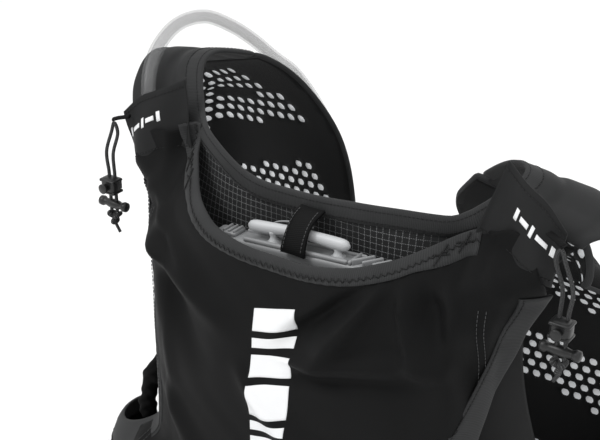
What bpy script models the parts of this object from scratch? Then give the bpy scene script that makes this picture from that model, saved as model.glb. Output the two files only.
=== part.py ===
"""Hydration running vest: back pocket with reservoir, hose, cord locks, front panels and straps.

Metres, +Z up, the wearer faces +Y and the outer back pocket faces -Y. The origin is
on the wearer's side of the back pad, on the centre line.
"""

import math

import bmesh
import bpy
from mathutils import Matrix, Vector

# Fabric and foam
GAP = 0.0003
SEAM = 0.0009
PANEL_T = 0.0018
SHELL_T = 0.0014
FOAM_T = 0.0045
TAPE_T = 0.0022
TAPE_W = 0.0110
PAD_T = 0.0060
PAD_W = 0.150
PAD_TOP = 0.088
PAD_BOTTOM = -0.190
PAD_CORNER = 0.030

# Vest outline
HEM_Z = -0.205
YOKE_Z = 0.1530
FLAT_HALF = 0.095
SIDE_RX = 0.045
SIDE_RY = 0.060
HEM_FLARE = 0.033
POCKET_DEPTH = 0.044

# Reservoir
BLADDER_W = 0.150
BLADDER_T = 0.022
BLADDER_TOP = 0.1010
BLADDER_BOTTOM = -0.180
BLADDER_Y = -0.0225
CLIP_X = 0.0065
CLIP_Z = 0.1150
CLIP_TILT = 4.8
CLIP_LEN = 0.136
BAR_LEN = 0.076
BAR_D = 0.0062
POST_PITCH = 0.048
PORT_Z = -0.140
PORT_R = 0.017
BUTTON_TRAVEL = 0.0015

# Hose and valve
HOSE_D = 0.010
HOSE_BORE = 0.0064
VALVE_R = 0.0085
VALVE_LEN = 0.034

# Cord locks
CORD_D = 0.0025
LOCK_W = 0.0130
LOCK_H = 0.0120
LOCK_T = 0.0100
PLUNGER_TRAVEL = 0.003

# Chest straps
WEB_W = 0.0100
WEB_T = 0.0016
RAIL_D = 0.0036
RAIL_X = 0.0800
RAIL_Y = 0.1720
UPPER_Z = 0.0180
LOWER_Z = -0.0750
RAIL_HALF = 0.030

BLACK = (0.020, 0.020, 0.022)
FABRIC = (0.026, 0.026, 0.028)
TAPE_GREY = (0.055, 0.055, 0.058)
LINER = (0.045, 0.045, 0.048)
CLIP_GREY = (0.36, 0.37, 0.38)
HOSE_TINT = (0.62, 0.64, 0.64)


def clear_scene():
    for obj in list(bpy.data.objects):
        bpy.data.objects.remove(obj, do_unlink=True)


def material(name, color, rough=0.8, metal=0.0, alpha=1.0):
    mat = bpy.data.materials.new(name)
    mat.use_nodes = True
    shader = mat.node_tree.nodes["Principled BSDF"]
    shader.inputs["Base Color"].default_value = (*color, 1.0)
    shader.inputs["Roughness"].default_value = rough
    shader.inputs["Metallic"].default_value = metal
    shader.inputs["Alpha"].default_value = alpha
    return mat


def add(name, bm, color, rough=0.8, alpha=1.0, smooth=False):
    bmesh.ops.remove_doubles(bm, verts=bm.verts, dist=1e-6)
    bmesh.ops.recalc_face_normals(bm, faces=bm.faces)
    mesh = bpy.data.meshes.new(name)
    bm.to_mesh(mesh)
    bm.free()
    obj = bpy.data.objects.new(name, mesh)
    bpy.context.scene.collection.objects.link(obj)
    mesh.materials.append(material(name, color, rough, 0.0, alpha))
    if smooth:
        mesh.shade_smooth()
    return obj


def ease(a, b, x):
    """Smooth step from 0 at a to 1 at b."""
    t = min(1.0, max(0.0, (x - a) / (b - a)))
    return t * t * (3.0 - 2.0 * t)


def spline(points, t):
    """Catmull-Rom curve through the tuples, t from 0 to 1."""
    last = len(points) - 1
    f = min(max(t, 0.0), 1.0) * last
    i = min(int(f), last - 1)
    f -= i
    p1, p2 = Vector(points[i]), Vector(points[i + 1])
    p0 = Vector(points[i - 1]) if i > 0 else 2 * p1 - p2
    p3 = Vector(points[i + 2]) if i + 2 <= last else 2 * p2 - p1
    a, b = f * f, f * f * f
    square = 2 * p0 - 5 * p1 + 4 * p2 - p3
    return 0.5 * (2 * p1 + (p2 - p0) * f + square * a + (3 * (p1 - p2) + p3 - p0) * b)


def resample(points, count):
    """Points at equal steps of length along the spline through the tuples."""
    fine = [spline(points, i / 240) for i in range(241)]
    run = [0.0]
    for a, b in zip(fine, fine[1:]):
        run.append(run[-1] + (b - a).length)
    out, k = [], 0
    for i in range(count):
        want = run[-1] * i / (count - 1)
        while k < 239 and run[k + 1] < want:
            k += 1
        step = run[k + 1] - run[k]
        out.append(fine[k].lerp(fine[k + 1], (want - run[k]) / step if step else 0.0))
    return out


# Body surface: s runs round the torso from the centre of the back, z is height.
def lean(s, z):
    """How far the shoulder corners of the back come forward."""
    return min(0.024, 4.0 * max(0.0, abs(s) - 0.03) ** 2) * ease(0.09, 0.15, z)


def body(s, z):
    """Point on the wearer's side of the back panel, and its outward normal."""
    start = FLAT_HALF + 0.060 * ease(0.11, 0.155, z)
    rx = SIDE_RX + HEM_FLARE * ease(-0.005, -0.085, z)
    angle = max(0.0, abs(s) - start) / ((rx + SIDE_RY) / 2)
    angle = min(angle, math.pi / 2)
    beyond = max(0.0, abs(s) - start - angle * (rx + SIDE_RY) / 2)
    x = min(abs(s), start) + rx * math.sin(angle)
    y = SIDE_RY * (1 - math.cos(angle)) + beyond
    normal = Vector((SIDE_RY * math.sin(angle), -rx * math.cos(angle), 0.0)).normalized()
    side = 1.0 if s >= 0 else -1.0
    point = Vector((side * x, y - PAD_T - GAP + lean(s, z), z))
    return point, Vector((side * normal.x, normal.y, 0.0))


def on_body(s, z, off):
    point, normal = body(s, z)
    return point + normal * off


def pocket_gap(s, z):
    """Distance of the outer pocket's fabric from the back panel."""
    depth = POCKET_DEPTH + 0.009 * ease(0.11, 0.02, z)
    depth *= 1 - 0.80 * ease(0.118, 0.158, z)
    depth *= 1 - 0.80 * ease(-0.150, -0.200, z)
    shape = max(0.0, 1 - (abs(s) / 0.130) ** 3)
    low = ease(-0.055, -0.095, z)
    shape_low = max(0.0, 1 - (abs(s) / 0.200) ** 4)
    base = 0.0065 + 0.0120 * ease(0.085, 0.125, z) * ease(0.108, 0.124, abs(s))
    return base + max(0.0, depth - base) * (shape * (1 - low) + shape_low * low)


def on_shell(s, z, off=0.0):
    return on_body(s, z, pocket_gap(s, z) + off)


def slab(name, rows, thick, color, rough=0.8, alpha=1.0, flip=False):
    """Closed sheet: rows is a grid of points on the outer face, and thick goes inwards."""
    n, m = len(rows), len(rows[0])
    bm = bmesh.new()
    outer, inner = [], []
    for i in range(n):
        outer.append([])
        inner.append([])
        for j in range(m):
            du = rows[i][min(j + 1, m - 1)] - rows[i][max(j - 1, 0)]
            dv = rows[min(i + 1, n - 1)][j] - rows[max(i - 1, 0)][j]
            normal = du.cross(dv).normalized() * (-1 if flip else 1)
            outer[i].append(bm.verts.new(rows[i][j]))
            inner[i].append(bm.verts.new(rows[i][j] - normal * thick))
    for i in range(n - 1):
        for j in range(m - 1):
            bm.faces.new((outer[i][j], outer[i][j + 1], outer[i + 1][j + 1], outer[i + 1][j]))
            bm.faces.new((inner[i][j], inner[i + 1][j], inner[i + 1][j + 1], inner[i][j + 1]))
    for i in range(n - 1):
        bm.faces.new((outer[i][0], outer[i + 1][0], inner[i + 1][0], inner[i][0]))
        bm.faces.new((outer[i + 1][-1], outer[i][-1], inner[i][-1], inner[i + 1][-1]))
    for j in range(m - 1):
        bm.faces.new((outer[0][j + 1], outer[0][j], inner[0][j], inner[0][j + 1]))
        bm.faces.new((outer[-1][j], outer[-1][j + 1], inner[-1][j + 1], inner[-1][j]))
    bmesh.ops.triangulate(bm, faces=bm.faces)
    return add(name, bm, color, rough, alpha)


def inward(curve, width):
    """A flat curve of (s, z) moved to its left by width."""
    out = []
    for i, p in enumerate(curve):
        a, b = curve[max(i - 1, 0)], curve[min(i + 1, len(curve) - 1)]
        d = (b - a).normalized()
        out.append(Vector((p.x - d.y * width, p.y + d.x * width)))
    return out


def coons(bottom, top, left, right):
    """Grid of (s, z) between four edge curves with shared corners."""
    n, m = len(left), len(bottom)
    grid = []
    for i in range(n):
        v = i / (n - 1)
        row = []
        for j in range(m):
            u = j / (m - 1)
            p = bottom[j] * (1 - v) + top[j] * v + left[i] * (1 - u) + right[i] * u
            p -= bottom[0] * (1 - u) * (1 - v) + bottom[-1] * u * (1 - v)
            p -= top[0] * (1 - u) * v + top[-1] * u * v
            row.append(p)
        grid.append(row)
    return grid


def mirrored(curve):
    return [Vector((-p.x, p.y)) for p in curve]


def tube(name, points, diameter, color, rough=0.5, alpha=1.0, ring=3):
    curve = bpy.data.curves.new(name, "CURVE")
    curve.dimensions = "3D"
    curve.bevel_depth = diameter / 2
    curve.bevel_resolution = ring
    curve.use_fill_caps = True
    line = curve.splines.new("POLY")
    line.points.add(len(points) - 1)
    for target, p in zip(line.points, points):
        target.co = (*p, 1.0)
    obj = bpy.data.objects.new(name, curve)
    bpy.context.scene.collection.objects.link(obj)
    curve.materials.append(material(name, color, rough, 0.0, alpha))
    return obj


def block(bm, centre, size, bevel=0.0, turn=None):
    made = bmesh.ops.create_cube(bm, size=1.0)["verts"]
    bmesh.ops.scale(bm, vec=Vector(size), verts=made)
    if bevel:
        edges = list({e for v in made for e in v.link_edges})
        made = bmesh.ops.bevel(bm, geom=edges, offset=bevel, segments=2, affect="EDGES", profile=0.7)["verts"]
    if turn is not None:
        bmesh.ops.rotate(bm, verts=made, cent=(0, 0, 0), matrix=turn)
    bmesh.ops.translate(bm, vec=Vector(centre), verts=made)
    return made


def rod(bm, start, end, r1, r2=None, segments=20):
    start, end = Vector(start), Vector(end)
    axis = end - start
    made = bmesh.ops.create_cone(
        bm, cap_ends=True, segments=segments, radius1=r1, radius2=r1 if r2 is None else r2, depth=axis.length
    )["verts"]
    turn = axis.to_track_quat("Z", "Y").to_matrix()
    bmesh.ops.rotate(bm, verts=made, cent=(0, 0, 0), matrix=turn)
    bmesh.ops.translate(bm, vec=(start + end) / 2, verts=made)
    return made


def combine(obj, tools, operation):
    """Applies an exact Boolean of each tool to obj and removes the tools."""
    for tool in tools:
        mod = obj.modifiers.new(tool.name, "BOOLEAN")
        mod.operation = operation
        mod.solver = "EXACT"
        mod.object = tool
        graph = bpy.context.evaluated_depsgraph_get()
        graph.update()
        mesh = bpy.data.meshes.new_from_object(obj.evaluated_get(graph))
        obj.modifiers.clear()
        obj.data = mesh
        bpy.data.objects.remove(tool, do_unlink=True)
    return obj


def helper(build):
    bm = bmesh.new()
    build(bm)
    return add("tool", bm, BLACK)


# Edge curves on the body surface, right half, as (s, z)
MOUTH = (
    (0.0, 0.1245),
    (0.020, 0.1247),
    (0.035, 0.1262),
    (0.050, 0.1285),
    (0.062, 0.1315),
    (0.073, 0.1348),
    (0.082, 0.1388),
    (0.0895, 0.1432),
    (0.0955, 0.1478),
    (0.1005, 0.1535),
    (0.1060, 0.1605),
    (0.1140, 0.1680),
)
NECK = ((0.0, 0.1500), (0.030, 0.1495), (0.057, 0.1485), (0.080, 0.1490), (0.094, 0.1525))
SIDE_OPENING = (
    (0.190, -0.0920),
    (0.168, -0.0870),
    (0.147, -0.0800),
    (0.131, -0.0670),
    (0.1215, -0.0440),
    (0.1178, -0.0150),
    (0.1185, 0.0200),
    (0.1240, 0.0580),
    (0.1315, 0.0820),
    (0.1385, 0.1040),
    (0.1430, 0.1180),
)
ARMHOLE = (
    (0.196, HEM_Z),
    (0.196, -0.110),
    (0.190, -0.050),
    (0.170, -0.012),
    (0.156, 0.030),
    (0.149, 0.070),
    (0.150, 0.110),
    (0.157, 0.138),
    (0.164, YOKE_Z - 0.0045),
)

# Shoulder strap and front panel: centre of the wearer's side, and half width
STRAP = (
    (0.1370, 0.0200, 0.1540, 0.0305),
    (0.1440, 0.0360, 0.1800, 0.0310),
    (0.1480, 0.0590, 0.1925, 0.0310),
    (0.1430, 0.0900, 0.1820, 0.0330),
    (0.1300, 0.1180, 0.1560, 0.0370),
    (0.1265, 0.1430, 0.1120, 0.0475),
    (0.1250, 0.1545, 0.0560, 0.0515),
    (0.1260, 0.1565, -0.0200, 0.0520),
    (0.1290, 0.1500, -0.1000, 0.0500),
    (0.1320, 0.1370, -0.1650, 0.0440),
)
STRAP_TILT = 9.0
RIGHT_SHIFT = 0.022
RIGHT_DROP = 0.012
RIGHT_TUCK = 0.038
RIGHT_SAG = 0.044


def strap_frame(t, side):
    """Centre, half width, width direction and outward normal of the strap at t."""
    here = spline(STRAP, t)
    a, b = spline(STRAP, max(0.0, t - 0.01)), spline(STRAP, min(1.0, t + 0.01))
    along = Vector((b[0] - a[0], b[1] - a[1], b[2] - a[2])).normalized()
    tilt = math.radians(STRAP_TILT) * math.sin(math.pi * min(1.0, t / 0.66))
    wide = Vector((math.cos(tilt), 0.0, -math.sin(tilt)))
    wide = (wide - along * wide.dot(along)).normalized()
    out = wide.cross(along).normalized()
    centre = Vector((here[0], here[1], here[2]))
    if side > 0:
        back_up = 1 - ease(0.42, 0.76, t)
        centre.x -= RIGHT_SHIFT * ease(0.22, 0.50, t) + RIGHT_TUCK * ease(0.14, 0.36, t) * back_up
        centre.z -= RIGHT_DROP * ease(0.12, 0.34, t) * (1 - ease(0.50, 0.90, t))
        centre.z -= RIGHT_SAG * (0.45 * ease(0.0, 0.14, t) + 0.55 * ease(0.22, 0.42, t)) * back_up
    flip = Vector((side, 1.0, 1.0))
    return centre * flip, here[3], wide * flip, out * flip


def strap_point(t, w, off, side):
    """w is the distance across the strap from its centre, positive to the outside."""
    centre, half, wide, out = strap_frame(t, side)
    return centre + wide * w + out * off


def strap_half(t):
    return spline(STRAP, t)[3]


SIDES = (("R", 1.0), ("L", -1.0))
YOKE_START = 0.008
YOKE_END = 0.335
FRONT_START = 0.340


def build_back():
    bm = bmesh.new()
    corner = PAD_CORNER
    outline = []
    for cx, cz, first in (
        (PAD_W / 2 - corner, PAD_TOP - corner, 0),
        (-PAD_W / 2 + corner, PAD_TOP - corner, 90),
        (-PAD_W / 2 + corner, PAD_BOTTOM + corner, 180),
        (PAD_W / 2 - corner, PAD_BOTTOM + corner, 270),
    ):
        for k in range(5):
            a = math.radians(first + 22.5 * k)
            outline.append((cx + corner * math.cos(a), cz + corner * math.sin(a)))
    front = [bm.verts.new((x, 0.0, z)) for x, z in outline]
    back = [bm.verts.new((x, -PAD_T, z)) for x, z in outline]
    bm.faces.new(front)
    bm.faces.new(back[::-1])
    for i in range(len(outline)):
        j = (i + 1) % len(outline)
        bm.faces.new((front[i], back[i], back[j], front[j]))
    add("back_pad", bm, LINER, 0.9)

    # Back panel: ends TAPE_W under the neck edge, where the neck binding starts
    neck = inward(resample(NECK, 13), -TAPE_W - SEAM)
    neck = [p for p in neck if p.x >= 0]
    neck[0] = Vector((0.0, neck[0].y))
    shoulder = [
        Vector((0.112, YOKE_Z - GAP)),
        Vector((0.138, YOKE_Z - 0.0015)),
        Vector((0.164, YOKE_Z - 0.0045)),
    ]
    half = [Vector(p) for p in neck] + [Vector((0.1075, 0.1475))] + shoulder
    half = resample([tuple(p) for p in half], 14)
    top = mirrored(half[::-1])[:-1] + half
    right = resample(ARMHOLE, 16)
    m = len(top)
    bottom = [Vector((-0.196 + 0.392 * j / (m - 1), HEM_Z)) for j in range(m)]
    grid = coons(bottom, top, mirrored(right), right)
    slab("back_panel", [[on_body(p.x, p.y, PANEL_T) for p in row] for row in grid], PANEL_T, LINER)


def build_shell():
    half = inward(resample(MOUTH, 13), -TAPE_W - SEAM - 0.0018)
    half[0] = Vector((0.0, half[0].y))
    half = [tuple(p) for p in half[:-1]] + [(0.132, 0.1590), (0.147, 0.1480)]
    half = resample(half, 16)
    top = mirrored(half[::-1])[:-1] + half
    opening = inward(resample(SIDE_OPENING, 22), TAPE_W + SEAM + 0.0016)
    lower = [(0.192, HEM_Z + TAPE_W + GAP), (0.192, -0.150), (0.192, -0.121)]
    side = lower + [tuple(p) for p in opening] + [tuple(half[-1])]
    right = resample(side, 24)
    m = len(top)
    low = HEM_Z + TAPE_W + GAP
    bottom = [Vector((-0.192 + 0.384 * j / (m - 1), low)) for j in range(m)]
    grid = coons(bottom, top, mirrored(right), right)
    slab("outer_shell", [[on_shell(p.x, p.y) for p in row] for row in grid], SHELL_T, FABRIC)

    edge = resample(MOUTH, 15)
    edge = mirrored(edge[::-1])[:-1] + edge
    steps = (-TAPE_W, -TAPE_W / 2, 0.0)
    rows = []
    for width in steps:
        line = inward(edge, width)
        rows.append([on_shell(p.x, p.y, 0.0006) for p in line])
    slab("mouth_binding", rows, TAPE_T, TAPE_GREY)

    for tag, sign in SIDES:
        edge = resample(SIDE_OPENING, 22)
        rows = []
        for width in (0.0, TAPE_W / 2, TAPE_W):
            line = inward(edge, width)
            rows.append([on_shell(sign * p.x, p.y, 0.0006) for p in line])
        slab("side_binding_" + tag, rows, TAPE_T, TAPE_GREY, flip=sign > 0)

    rows = []
    for z in (HEM_Z, HEM_Z + TAPE_W / 2, HEM_Z + TAPE_W):
        rows.append([on_shell(-0.192 + 0.384 * j / 24, z, 0.0004) for j in range(25)])
    slab("hem_binding", rows, TAPE_T, TAPE_GREY)


def build_neck_binding():
    """Tape round the neck edge: across the back, then up each strap to the crest."""
    edge = resample(NECK, 10)
    inner = inward(edge, -TAPE_W)
    middle = inward(edge, -TAPE_W / 2)
    rows = []
    for k, line in enumerate((inner, middle, edge)):
        back = [on_body(max(0.0, p.x), p.y, PANEL_T + 0.0004) for p in line]
        back[0].x = 0.0
        ends = {}
        for tag, side in SIDES:
            ends[tag] = []
            for t in (0.02, 0.05, 0.08, 0.11, 0.14, 0.17, 0.20, 0.23, 0.26, 0.29, 0.32):
                width = -strap_half(t) + TAPE_W * (1 - k / 2) - 0.0005
                ends[tag].append(strap_point(t, width, FOAM_T - 0.0012, side))
        other = [Vector((-p.x, p.y, p.z)) for p in back[:0:-1]]
        rows.append(ends["L"][::-1] + other + back + ends["R"])
    slab("neck_binding", rows, TAPE_T, TAPE_GREY)


def build_straps():
    for tag, side in SIDES:
        rows = []
        for i in range(11):
            t = YOKE_START + (YOKE_END - YOKE_START) * i / 10
            half = strap_half(t)
            left = -half + TAPE_W + GAP
            rows.append([strap_point(t, left + (half - left) * j / 4, FOAM_T, side) for j in range(5)])
        slab("shoulder_" + tag, rows, FOAM_T, FABRIC, flip=side < 0)
        rows = []
        for i in range(17):
            t = FRONT_START + (1.0 - FRONT_START) * i / 16
            half = strap_half(t)
            rows.append([strap_point(t, -half + 2 * half * j / 6, FOAM_T, side) for j in range(7)])
        slab("front_panel_" + tag, rows, FOAM_T, BLACK, flip=side < 0)

        # Stretch pocket for a flask on the chest side of the front panel
        top_t, low_t, inner, outer = 0.520, 0.985, 0.0140, 0.0020
        rows = []
        for i in range(13):
            t = top_t + (low_t - top_t) * i / 12
            half = strap_half(t)
            rows.append([])
            for j in range(9):
                w = -half + inner + (2 * half - inner - outer) * j / 8
                tall = (0.018 + 0.006 * ease(0.6, 0.0, i / 12)) * ease(1.02, 0.86, i / 12)
                lift = (1 - abs(2 * j / 8 - 1) ** 2.5) * tall
                rows[-1].append(strap_point(t, w, FOAM_T + GAP + SHELL_T + lift, side))
        slab("flask_pocket_" + tag, rows, SHELL_T, FABRIC, flip=side < 0)
        rows = []
        for i in range(3):
            t = top_t - 0.0012 - 0.0135 * (2 - i) / 2
            half = strap_half(t)
            rows.append([])
            for j in range(9):
                w = -half + inner + (2 * half - inner - outer) * j / 8
                lift = (1 - abs(2 * j / 8 - 1) ** 2.5) * 0.024
                rows[-1].append(strap_point(t, w, FOAM_T + GAP + TAPE_T + lift, side))
        slab("flask_binding_" + tag, rows, TAPE_T, TAPE_GREY, flip=side < 0)

        # Side wing from the back panel to the front panel's outer edge
        rows = []
        for i in range(9):
            z = -0.200 + (0.142 + 0.0) * i / 8
            start = on_body(side * 0.1965, z, PANEL_T)
            t = 0.955 - 0.22 * i / 8
            end = strap_point(t, strap_half(t) + GAP, FOAM_T, side)
            rows.append([])
            for j in range(9):
                u = j / 8
                p = start.lerp(end, u)
                p.x += side * 0.016 * math.sin(math.pi * u)
                rows[-1].append(p)
        slab("side_wing_" + tag, rows, 0.0012, LINER, flip=side > 0)


PORT_LOW = ((0.1270, 0.0010, 0.1615), (0.1370, -0.0030, 0.1580), (0.1480, -0.0040, 0.1500))
PORT_HIGH = ((0.1290, 0.0130, 0.1890), (0.1430, 0.0060, 0.1830), (0.1620, 0.0020, 0.1680))


def port_point(u, v, side):
    """Hood over the hose outlet: u runs from the neck side outwards, v upwards."""
    p = spline(PORT_LOW, u).lerp(spline(PORT_HIGH, u), v)
    return Vector((side * p.x, p.y, p.z))


def build_ports():
    for tag, side in SIDES:
        rows = [[port_point(j / 6, i / 4, side) for j in range(7)] for i in range(5)]
        slab("hose_port_" + tag, rows, 0.0012, FABRIC, flip=side < 0)


CORD_TOP = (0.1640, -0.0030, 0.1600)
LOCK_OUT = 0.0055


def build_cord_lock(tag, side):
    x, y, top = (CORD_TOP[0] + LOCK_OUT) * side, CORD_TOP[1] - 0.003, CORD_TOP[2]
    start = CORD_TOP[0] * side
    lock_z = top - 0.048
    bar_z = lock_z - 0.0150
    knot_z = bar_z - 0.0090
    spread = 0.0026
    path = [
        (x + side * spread, y, bar_z - 0.0056),
        (x + side * spread, y, lock_z),
        (x + side * spread, y, lock_z + 0.009),
        (x + side * (spread + 0.0006), y, lock_z + 0.024),
        (start + side * spread * 1.2, y, top - 0.008),
        (start, y, top - 0.0005),
        (start - side * spread, y, top - 0.008),
        (x - side * spread, y, lock_z + 0.024),
        (x - side * spread, y, lock_z + 0.009),
        (x - side * spread, y, lock_z),
        (x - side * spread, y, bar_z - 0.0056),
    ]
    tube("drawcord_" + tag, resample(path, 44), CORD_D, BLACK, 0.7, ring=2)

    hole = CORD_D / 2 + GAP
    bm = bmesh.new()
    block(bm, (x, y - 0.0015, lock_z), (LOCK_W, LOCK_T, LOCK_H), 0.0014)
    housing = add("cord_lock_" + tag, bm, BLACK, 0.45)
    tools = [
        helper(
            lambda b, s=s: rod(
                b, (x + s * spread, y, lock_z - 0.02), (x + s * spread, y, lock_z + 0.02), hole, segments=16
            )
        )
        for s in (1.0, -1.0)
    ]
    combine(housing, tools, "DIFFERENCE")
    well = helper(lambda b: rod(b, (x, y - 0.0100, lock_z), (x, y - 0.0019, lock_z), 0.0030, segments=20))
    combine(housing, [well], "DIFFERENCE")
    bm = bmesh.new()
    rod(bm, (x, y - 0.0105, lock_z), (x, y - 0.0022 - PLUNGER_TRAVEL, lock_z), 0.0026, segments=20)
    add("cord_plunger_" + tag, bm, BLACK, 0.4)

    bm = bmesh.new()
    block(bm, (x, y, bar_z), (0.0250, 0.0070, 0.0062), 0.0016)
    bar = add("toggle_bar_" + tag, bm, BLACK, 0.45)
    tools = [
        helper(
            lambda b, s=s: rod(
                b, (x + s * spread, y, bar_z - 0.02), (x + s * spread, y, bar_z + 0.02), hole, segments=16
            )
        )
        for s in (1.0, -1.0)
    ]
    combine(bar, tools, "DIFFERENCE")
    bm = bmesh.new()
    ball = bmesh.ops.create_icosphere(bm, subdivisions=2, radius=0.0046)["verts"]
    bmesh.ops.scale(bm, vec=(1.15, 0.8, 0.72), verts=ball)
    bmesh.ops.translate(bm, vec=(x, y, knot_z - 0.0007), verts=ball)
    add("cord_knot_" + tag, bm, BLACK, 0.7)


def build_reservoir():
    bm = bmesh.new()
    ball = bmesh.ops.create_grid(bm, x_segments=12, y_segments=16, size=0.5)["verts"]
    bmesh.ops.delete(bm, geom=ball, context="VERTS")
    mid = (BLADDER_TOP + BLADDER_BOTTOM) / 2
    tall = (BLADDER_TOP - BLADDER_BOTTOM) / 2
    rings, around = 15, 28
    levels = []
    for i in range(1, rings):
        a = -math.pi / 2 + math.pi * i / rings
        zz = math.copysign(abs(math.sin(a)) ** 0.55, math.sin(a))
        rr = abs(math.cos(a)) ** 0.40
        ring = []
        for k in range(around):
            b = 2 * math.pi * k / around
            cx = math.copysign(abs(math.cos(b)) ** 0.6, math.cos(b))
            cy = math.copysign(abs(math.sin(b)) ** 0.9, math.sin(b))
            place = (BLADDER_W / 2 * rr * cx, BLADDER_Y + BLADDER_T / 2 * rr * cy, mid + tall * zz)
            ring.append(bm.verts.new(place))
        levels.append(ring)
    for a, b in zip(levels, levels[1:]):
        for k in range(around):
            j = (k + 1) % around
            bm.faces.new((a[k], a[j], b[j], b[k]))
    bm.faces.new(levels[0][::-1])
    bm.faces.new(levels[-1])
    bmesh.ops.triangulate(bm, faces=bm.faces)
    add("reservoir", bm, (0.30, 0.33, 0.35), 0.35, 0.85)

    # Slide-off top clip with its hanger bar, tilted as one piece
    turn = Matrix.Rotation(math.radians(-CLIP_TILT), 3, "Y")
    home = Vector((CLIP_X, BLADDER_Y, CLIP_Z))
    bm = bmesh.new()
    block(bm, (0, 0, 0), (CLIP_LEN, 0.0170, 0.0120), 0.0022)
    clip = add("slide_clip", bm, CLIP_GREY, 0.4)
    tools = []
    for s in (1.0, -1.0):
        at = s * POST_PITCH / 2
        tools.append(helper(lambda b, at=at: rod(b, (at, 0, 0.004), (at, 0, 0.0125), 0.0042, 0.0026)))
    tools.append(helper(lambda b: rod(b, (-BAR_LEN / 2, 0, 0.0140), (BAR_LEN / 2, 0, 0.0140), BAR_D / 2)))
    combine(clip, tools, "UNION")
    bevel = helper(lambda b: block(b, (0, 0, -0.0052), (CLIP_LEN + 0.01, 0.0092, 0.0080)))
    combine(clip, [bevel], "DIFFERENCE")
    clip.data.transform(turn.to_4x4())
    clip.data.transform(Matrix.Translation(home))

    # Folded top of the bladder, held in the clip's groove
    bm = bmesh.new()
    block(bm, (0, 0, -0.0056), (CLIP_LEN - 0.010, 0.0070, 0.0070), 0.0010)
    fold = add("reservoir_fold", bm, (0.30, 0.33, 0.35), 0.35, 0.85)
    fold.data.transform(turn.to_4x4())
    fold.data.transform(Matrix.Translation(home))

    face_y = BLADDER_Y - BLADDER_T / 2
    bm = bmesh.new()
    rod(bm, (0, face_y - GAP, PORT_Z), (0, face_y - 0.0040, PORT_Z), PORT_R, segments=28)
    port = add("reservoir_port", bm, CLIP_GREY, 0.4)
    well = helper(
        lambda b: rod(b, (0, face_y - 0.0060, PORT_Z), (0, face_y - 0.0020, PORT_Z), 0.0085, segments=24)
    )
    combine(port, [well], "DIFFERENCE")
    bm = bmesh.new()
    rod(bm, (0, face_y - 0.0023, PORT_Z), (0, face_y - 0.0105, PORT_Z), 0.0080, segments=24)
    elbow = add("hose_elbow", bm, CLIP_GREY, 0.4)
    tools = [
        helper(
            lambda b: rod(
                b, (0.002, face_y - 0.0076, PORT_Z), (-0.0205, face_y - 0.0076, PORT_Z), 0.0029, segments=18
            )
        ),
    ]
    combine(elbow, tools, "UNION")
    well = helper(
        lambda b: rod(b, (0, face_y - 0.0120, PORT_Z), (0, face_y - 0.0080, PORT_Z), 0.0050, segments=20)
    )
    combine(elbow, [well], "DIFFERENCE")
    bm = bmesh.new()
    rod(bm, (0, face_y - 0.0083 - BUTTON_TRAVEL, PORT_Z), (0, face_y - 0.0128, PORT_Z), 0.0046, segments=20)
    add("release_button", bm, BLACK, 0.4)


HOSE_PATH = (
    (-0.0212, -0.0411, PORT_Z),
    (-0.0420, -0.0405, PORT_Z + 0.004),
    (-0.0680, -0.0370, -0.112),
    (-0.0900, -0.0300, -0.060),
    (-0.0960, -0.0260, 0.000),
    (-0.1010, -0.0200, 0.060),
    (-0.1150, -0.0070, 0.105),
    (-0.1270, 0.0042, 0.130),
    (-0.1380, 0.0092, 0.148),
    (-0.1460, 0.0120, 0.162),
    (-0.1530, 0.0180, 0.176),
    (-0.1590, 0.0285, 0.1910),
    (-0.1620, 0.0440, 0.2040),
    (-0.1625, 0.0650, 0.2120),
    (-0.1600, 0.0900, 0.2110),
    (-0.1550, 0.1120, 0.2000),
    (-0.1480, 0.1290, 0.1865),
    (-0.1400, 0.1460, 0.1690),
    (-0.1365, 0.1700, 0.1490),
    (-0.1250, 0.1860, 0.1180),
    (-0.1165, 0.1950, 0.0860),
    (-0.1120, 0.2000, 0.0550),
    (-0.1090, 0.2020, 0.0200),
)


def build_hose():
    hose = resample(HOSE_PATH, 74)
    tube("hose", hose, HOSE_D, HOSE_TINT, 0.3, 0.6, ring=2)
    tip = hose[-1]
    way = (hose[-1] - hose[-3]).normalized()
    wide = Vector((0.0, 1.0, 0.0))
    wide = (wide - way * wide.dot(way)).normalized()
    bm = bmesh.new()
    a = tip + way * GAP
    rod(bm, a, a + way * VALVE_LEN, VALVE_R, segments=24)
    body_obj = add("valve_body", bm, BLACK, 0.45)
    cross = wide.cross(way)
    pin = a + way * 0.018
    well = helper(lambda b: rod(b, pin + wide * 0.0045, pin + wide * 0.0200, 0.0058, segments=24))
    combine(body_obj, [well], "DIFFERENCE")
    bm = bmesh.new()
    rod(bm, pin + wide * 0.0048, pin + wide * 0.0100, 0.0055, segments=24)
    lever = add("shutoff_lever", bm, CLIP_GREY, 0.4)
    turn = Matrix((cross, way, wide)).transposed()
    fin = helper(lambda b: block(b, pin + wide * 0.0110 + way * 0.0030, (0.0045, 0.0160, 0.0042), 0.0008, turn))
    combine(lever, [fin], "UNION")
    bm = bmesh.new()
    c = a + way * (VALVE_LEN + GAP)
    rod(bm, c, c + way * 0.020, 0.0075, 0.0055, segments=24)
    add("bite_valve", bm, (0.42, 0.44, 0.46), 0.5)

    # Elastic keeper that holds the hose on the front of the left strap
    k = 66
    p, q = hose[k], hose[k + 1]
    axis = (q - p).normalized()
    bm = bmesh.new()
    rod(bm, p - axis * 0.005, p + axis * 0.005, HOSE_D / 2 + 0.0026, segments=20)
    keeper = add("hose_keeper", bm, BLACK, 0.8)
    bore = helper(lambda b: rod(b, p - axis * 0.02, p + axis * 0.02, HOSE_D / 2 + 0.0008, segments=20))
    combine(keeper, [bore], "DIFFERENCE")


TAB_X = 0.0045
TAB_HINGE = (TAB_X, -0.0120, 0.1460)


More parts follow.
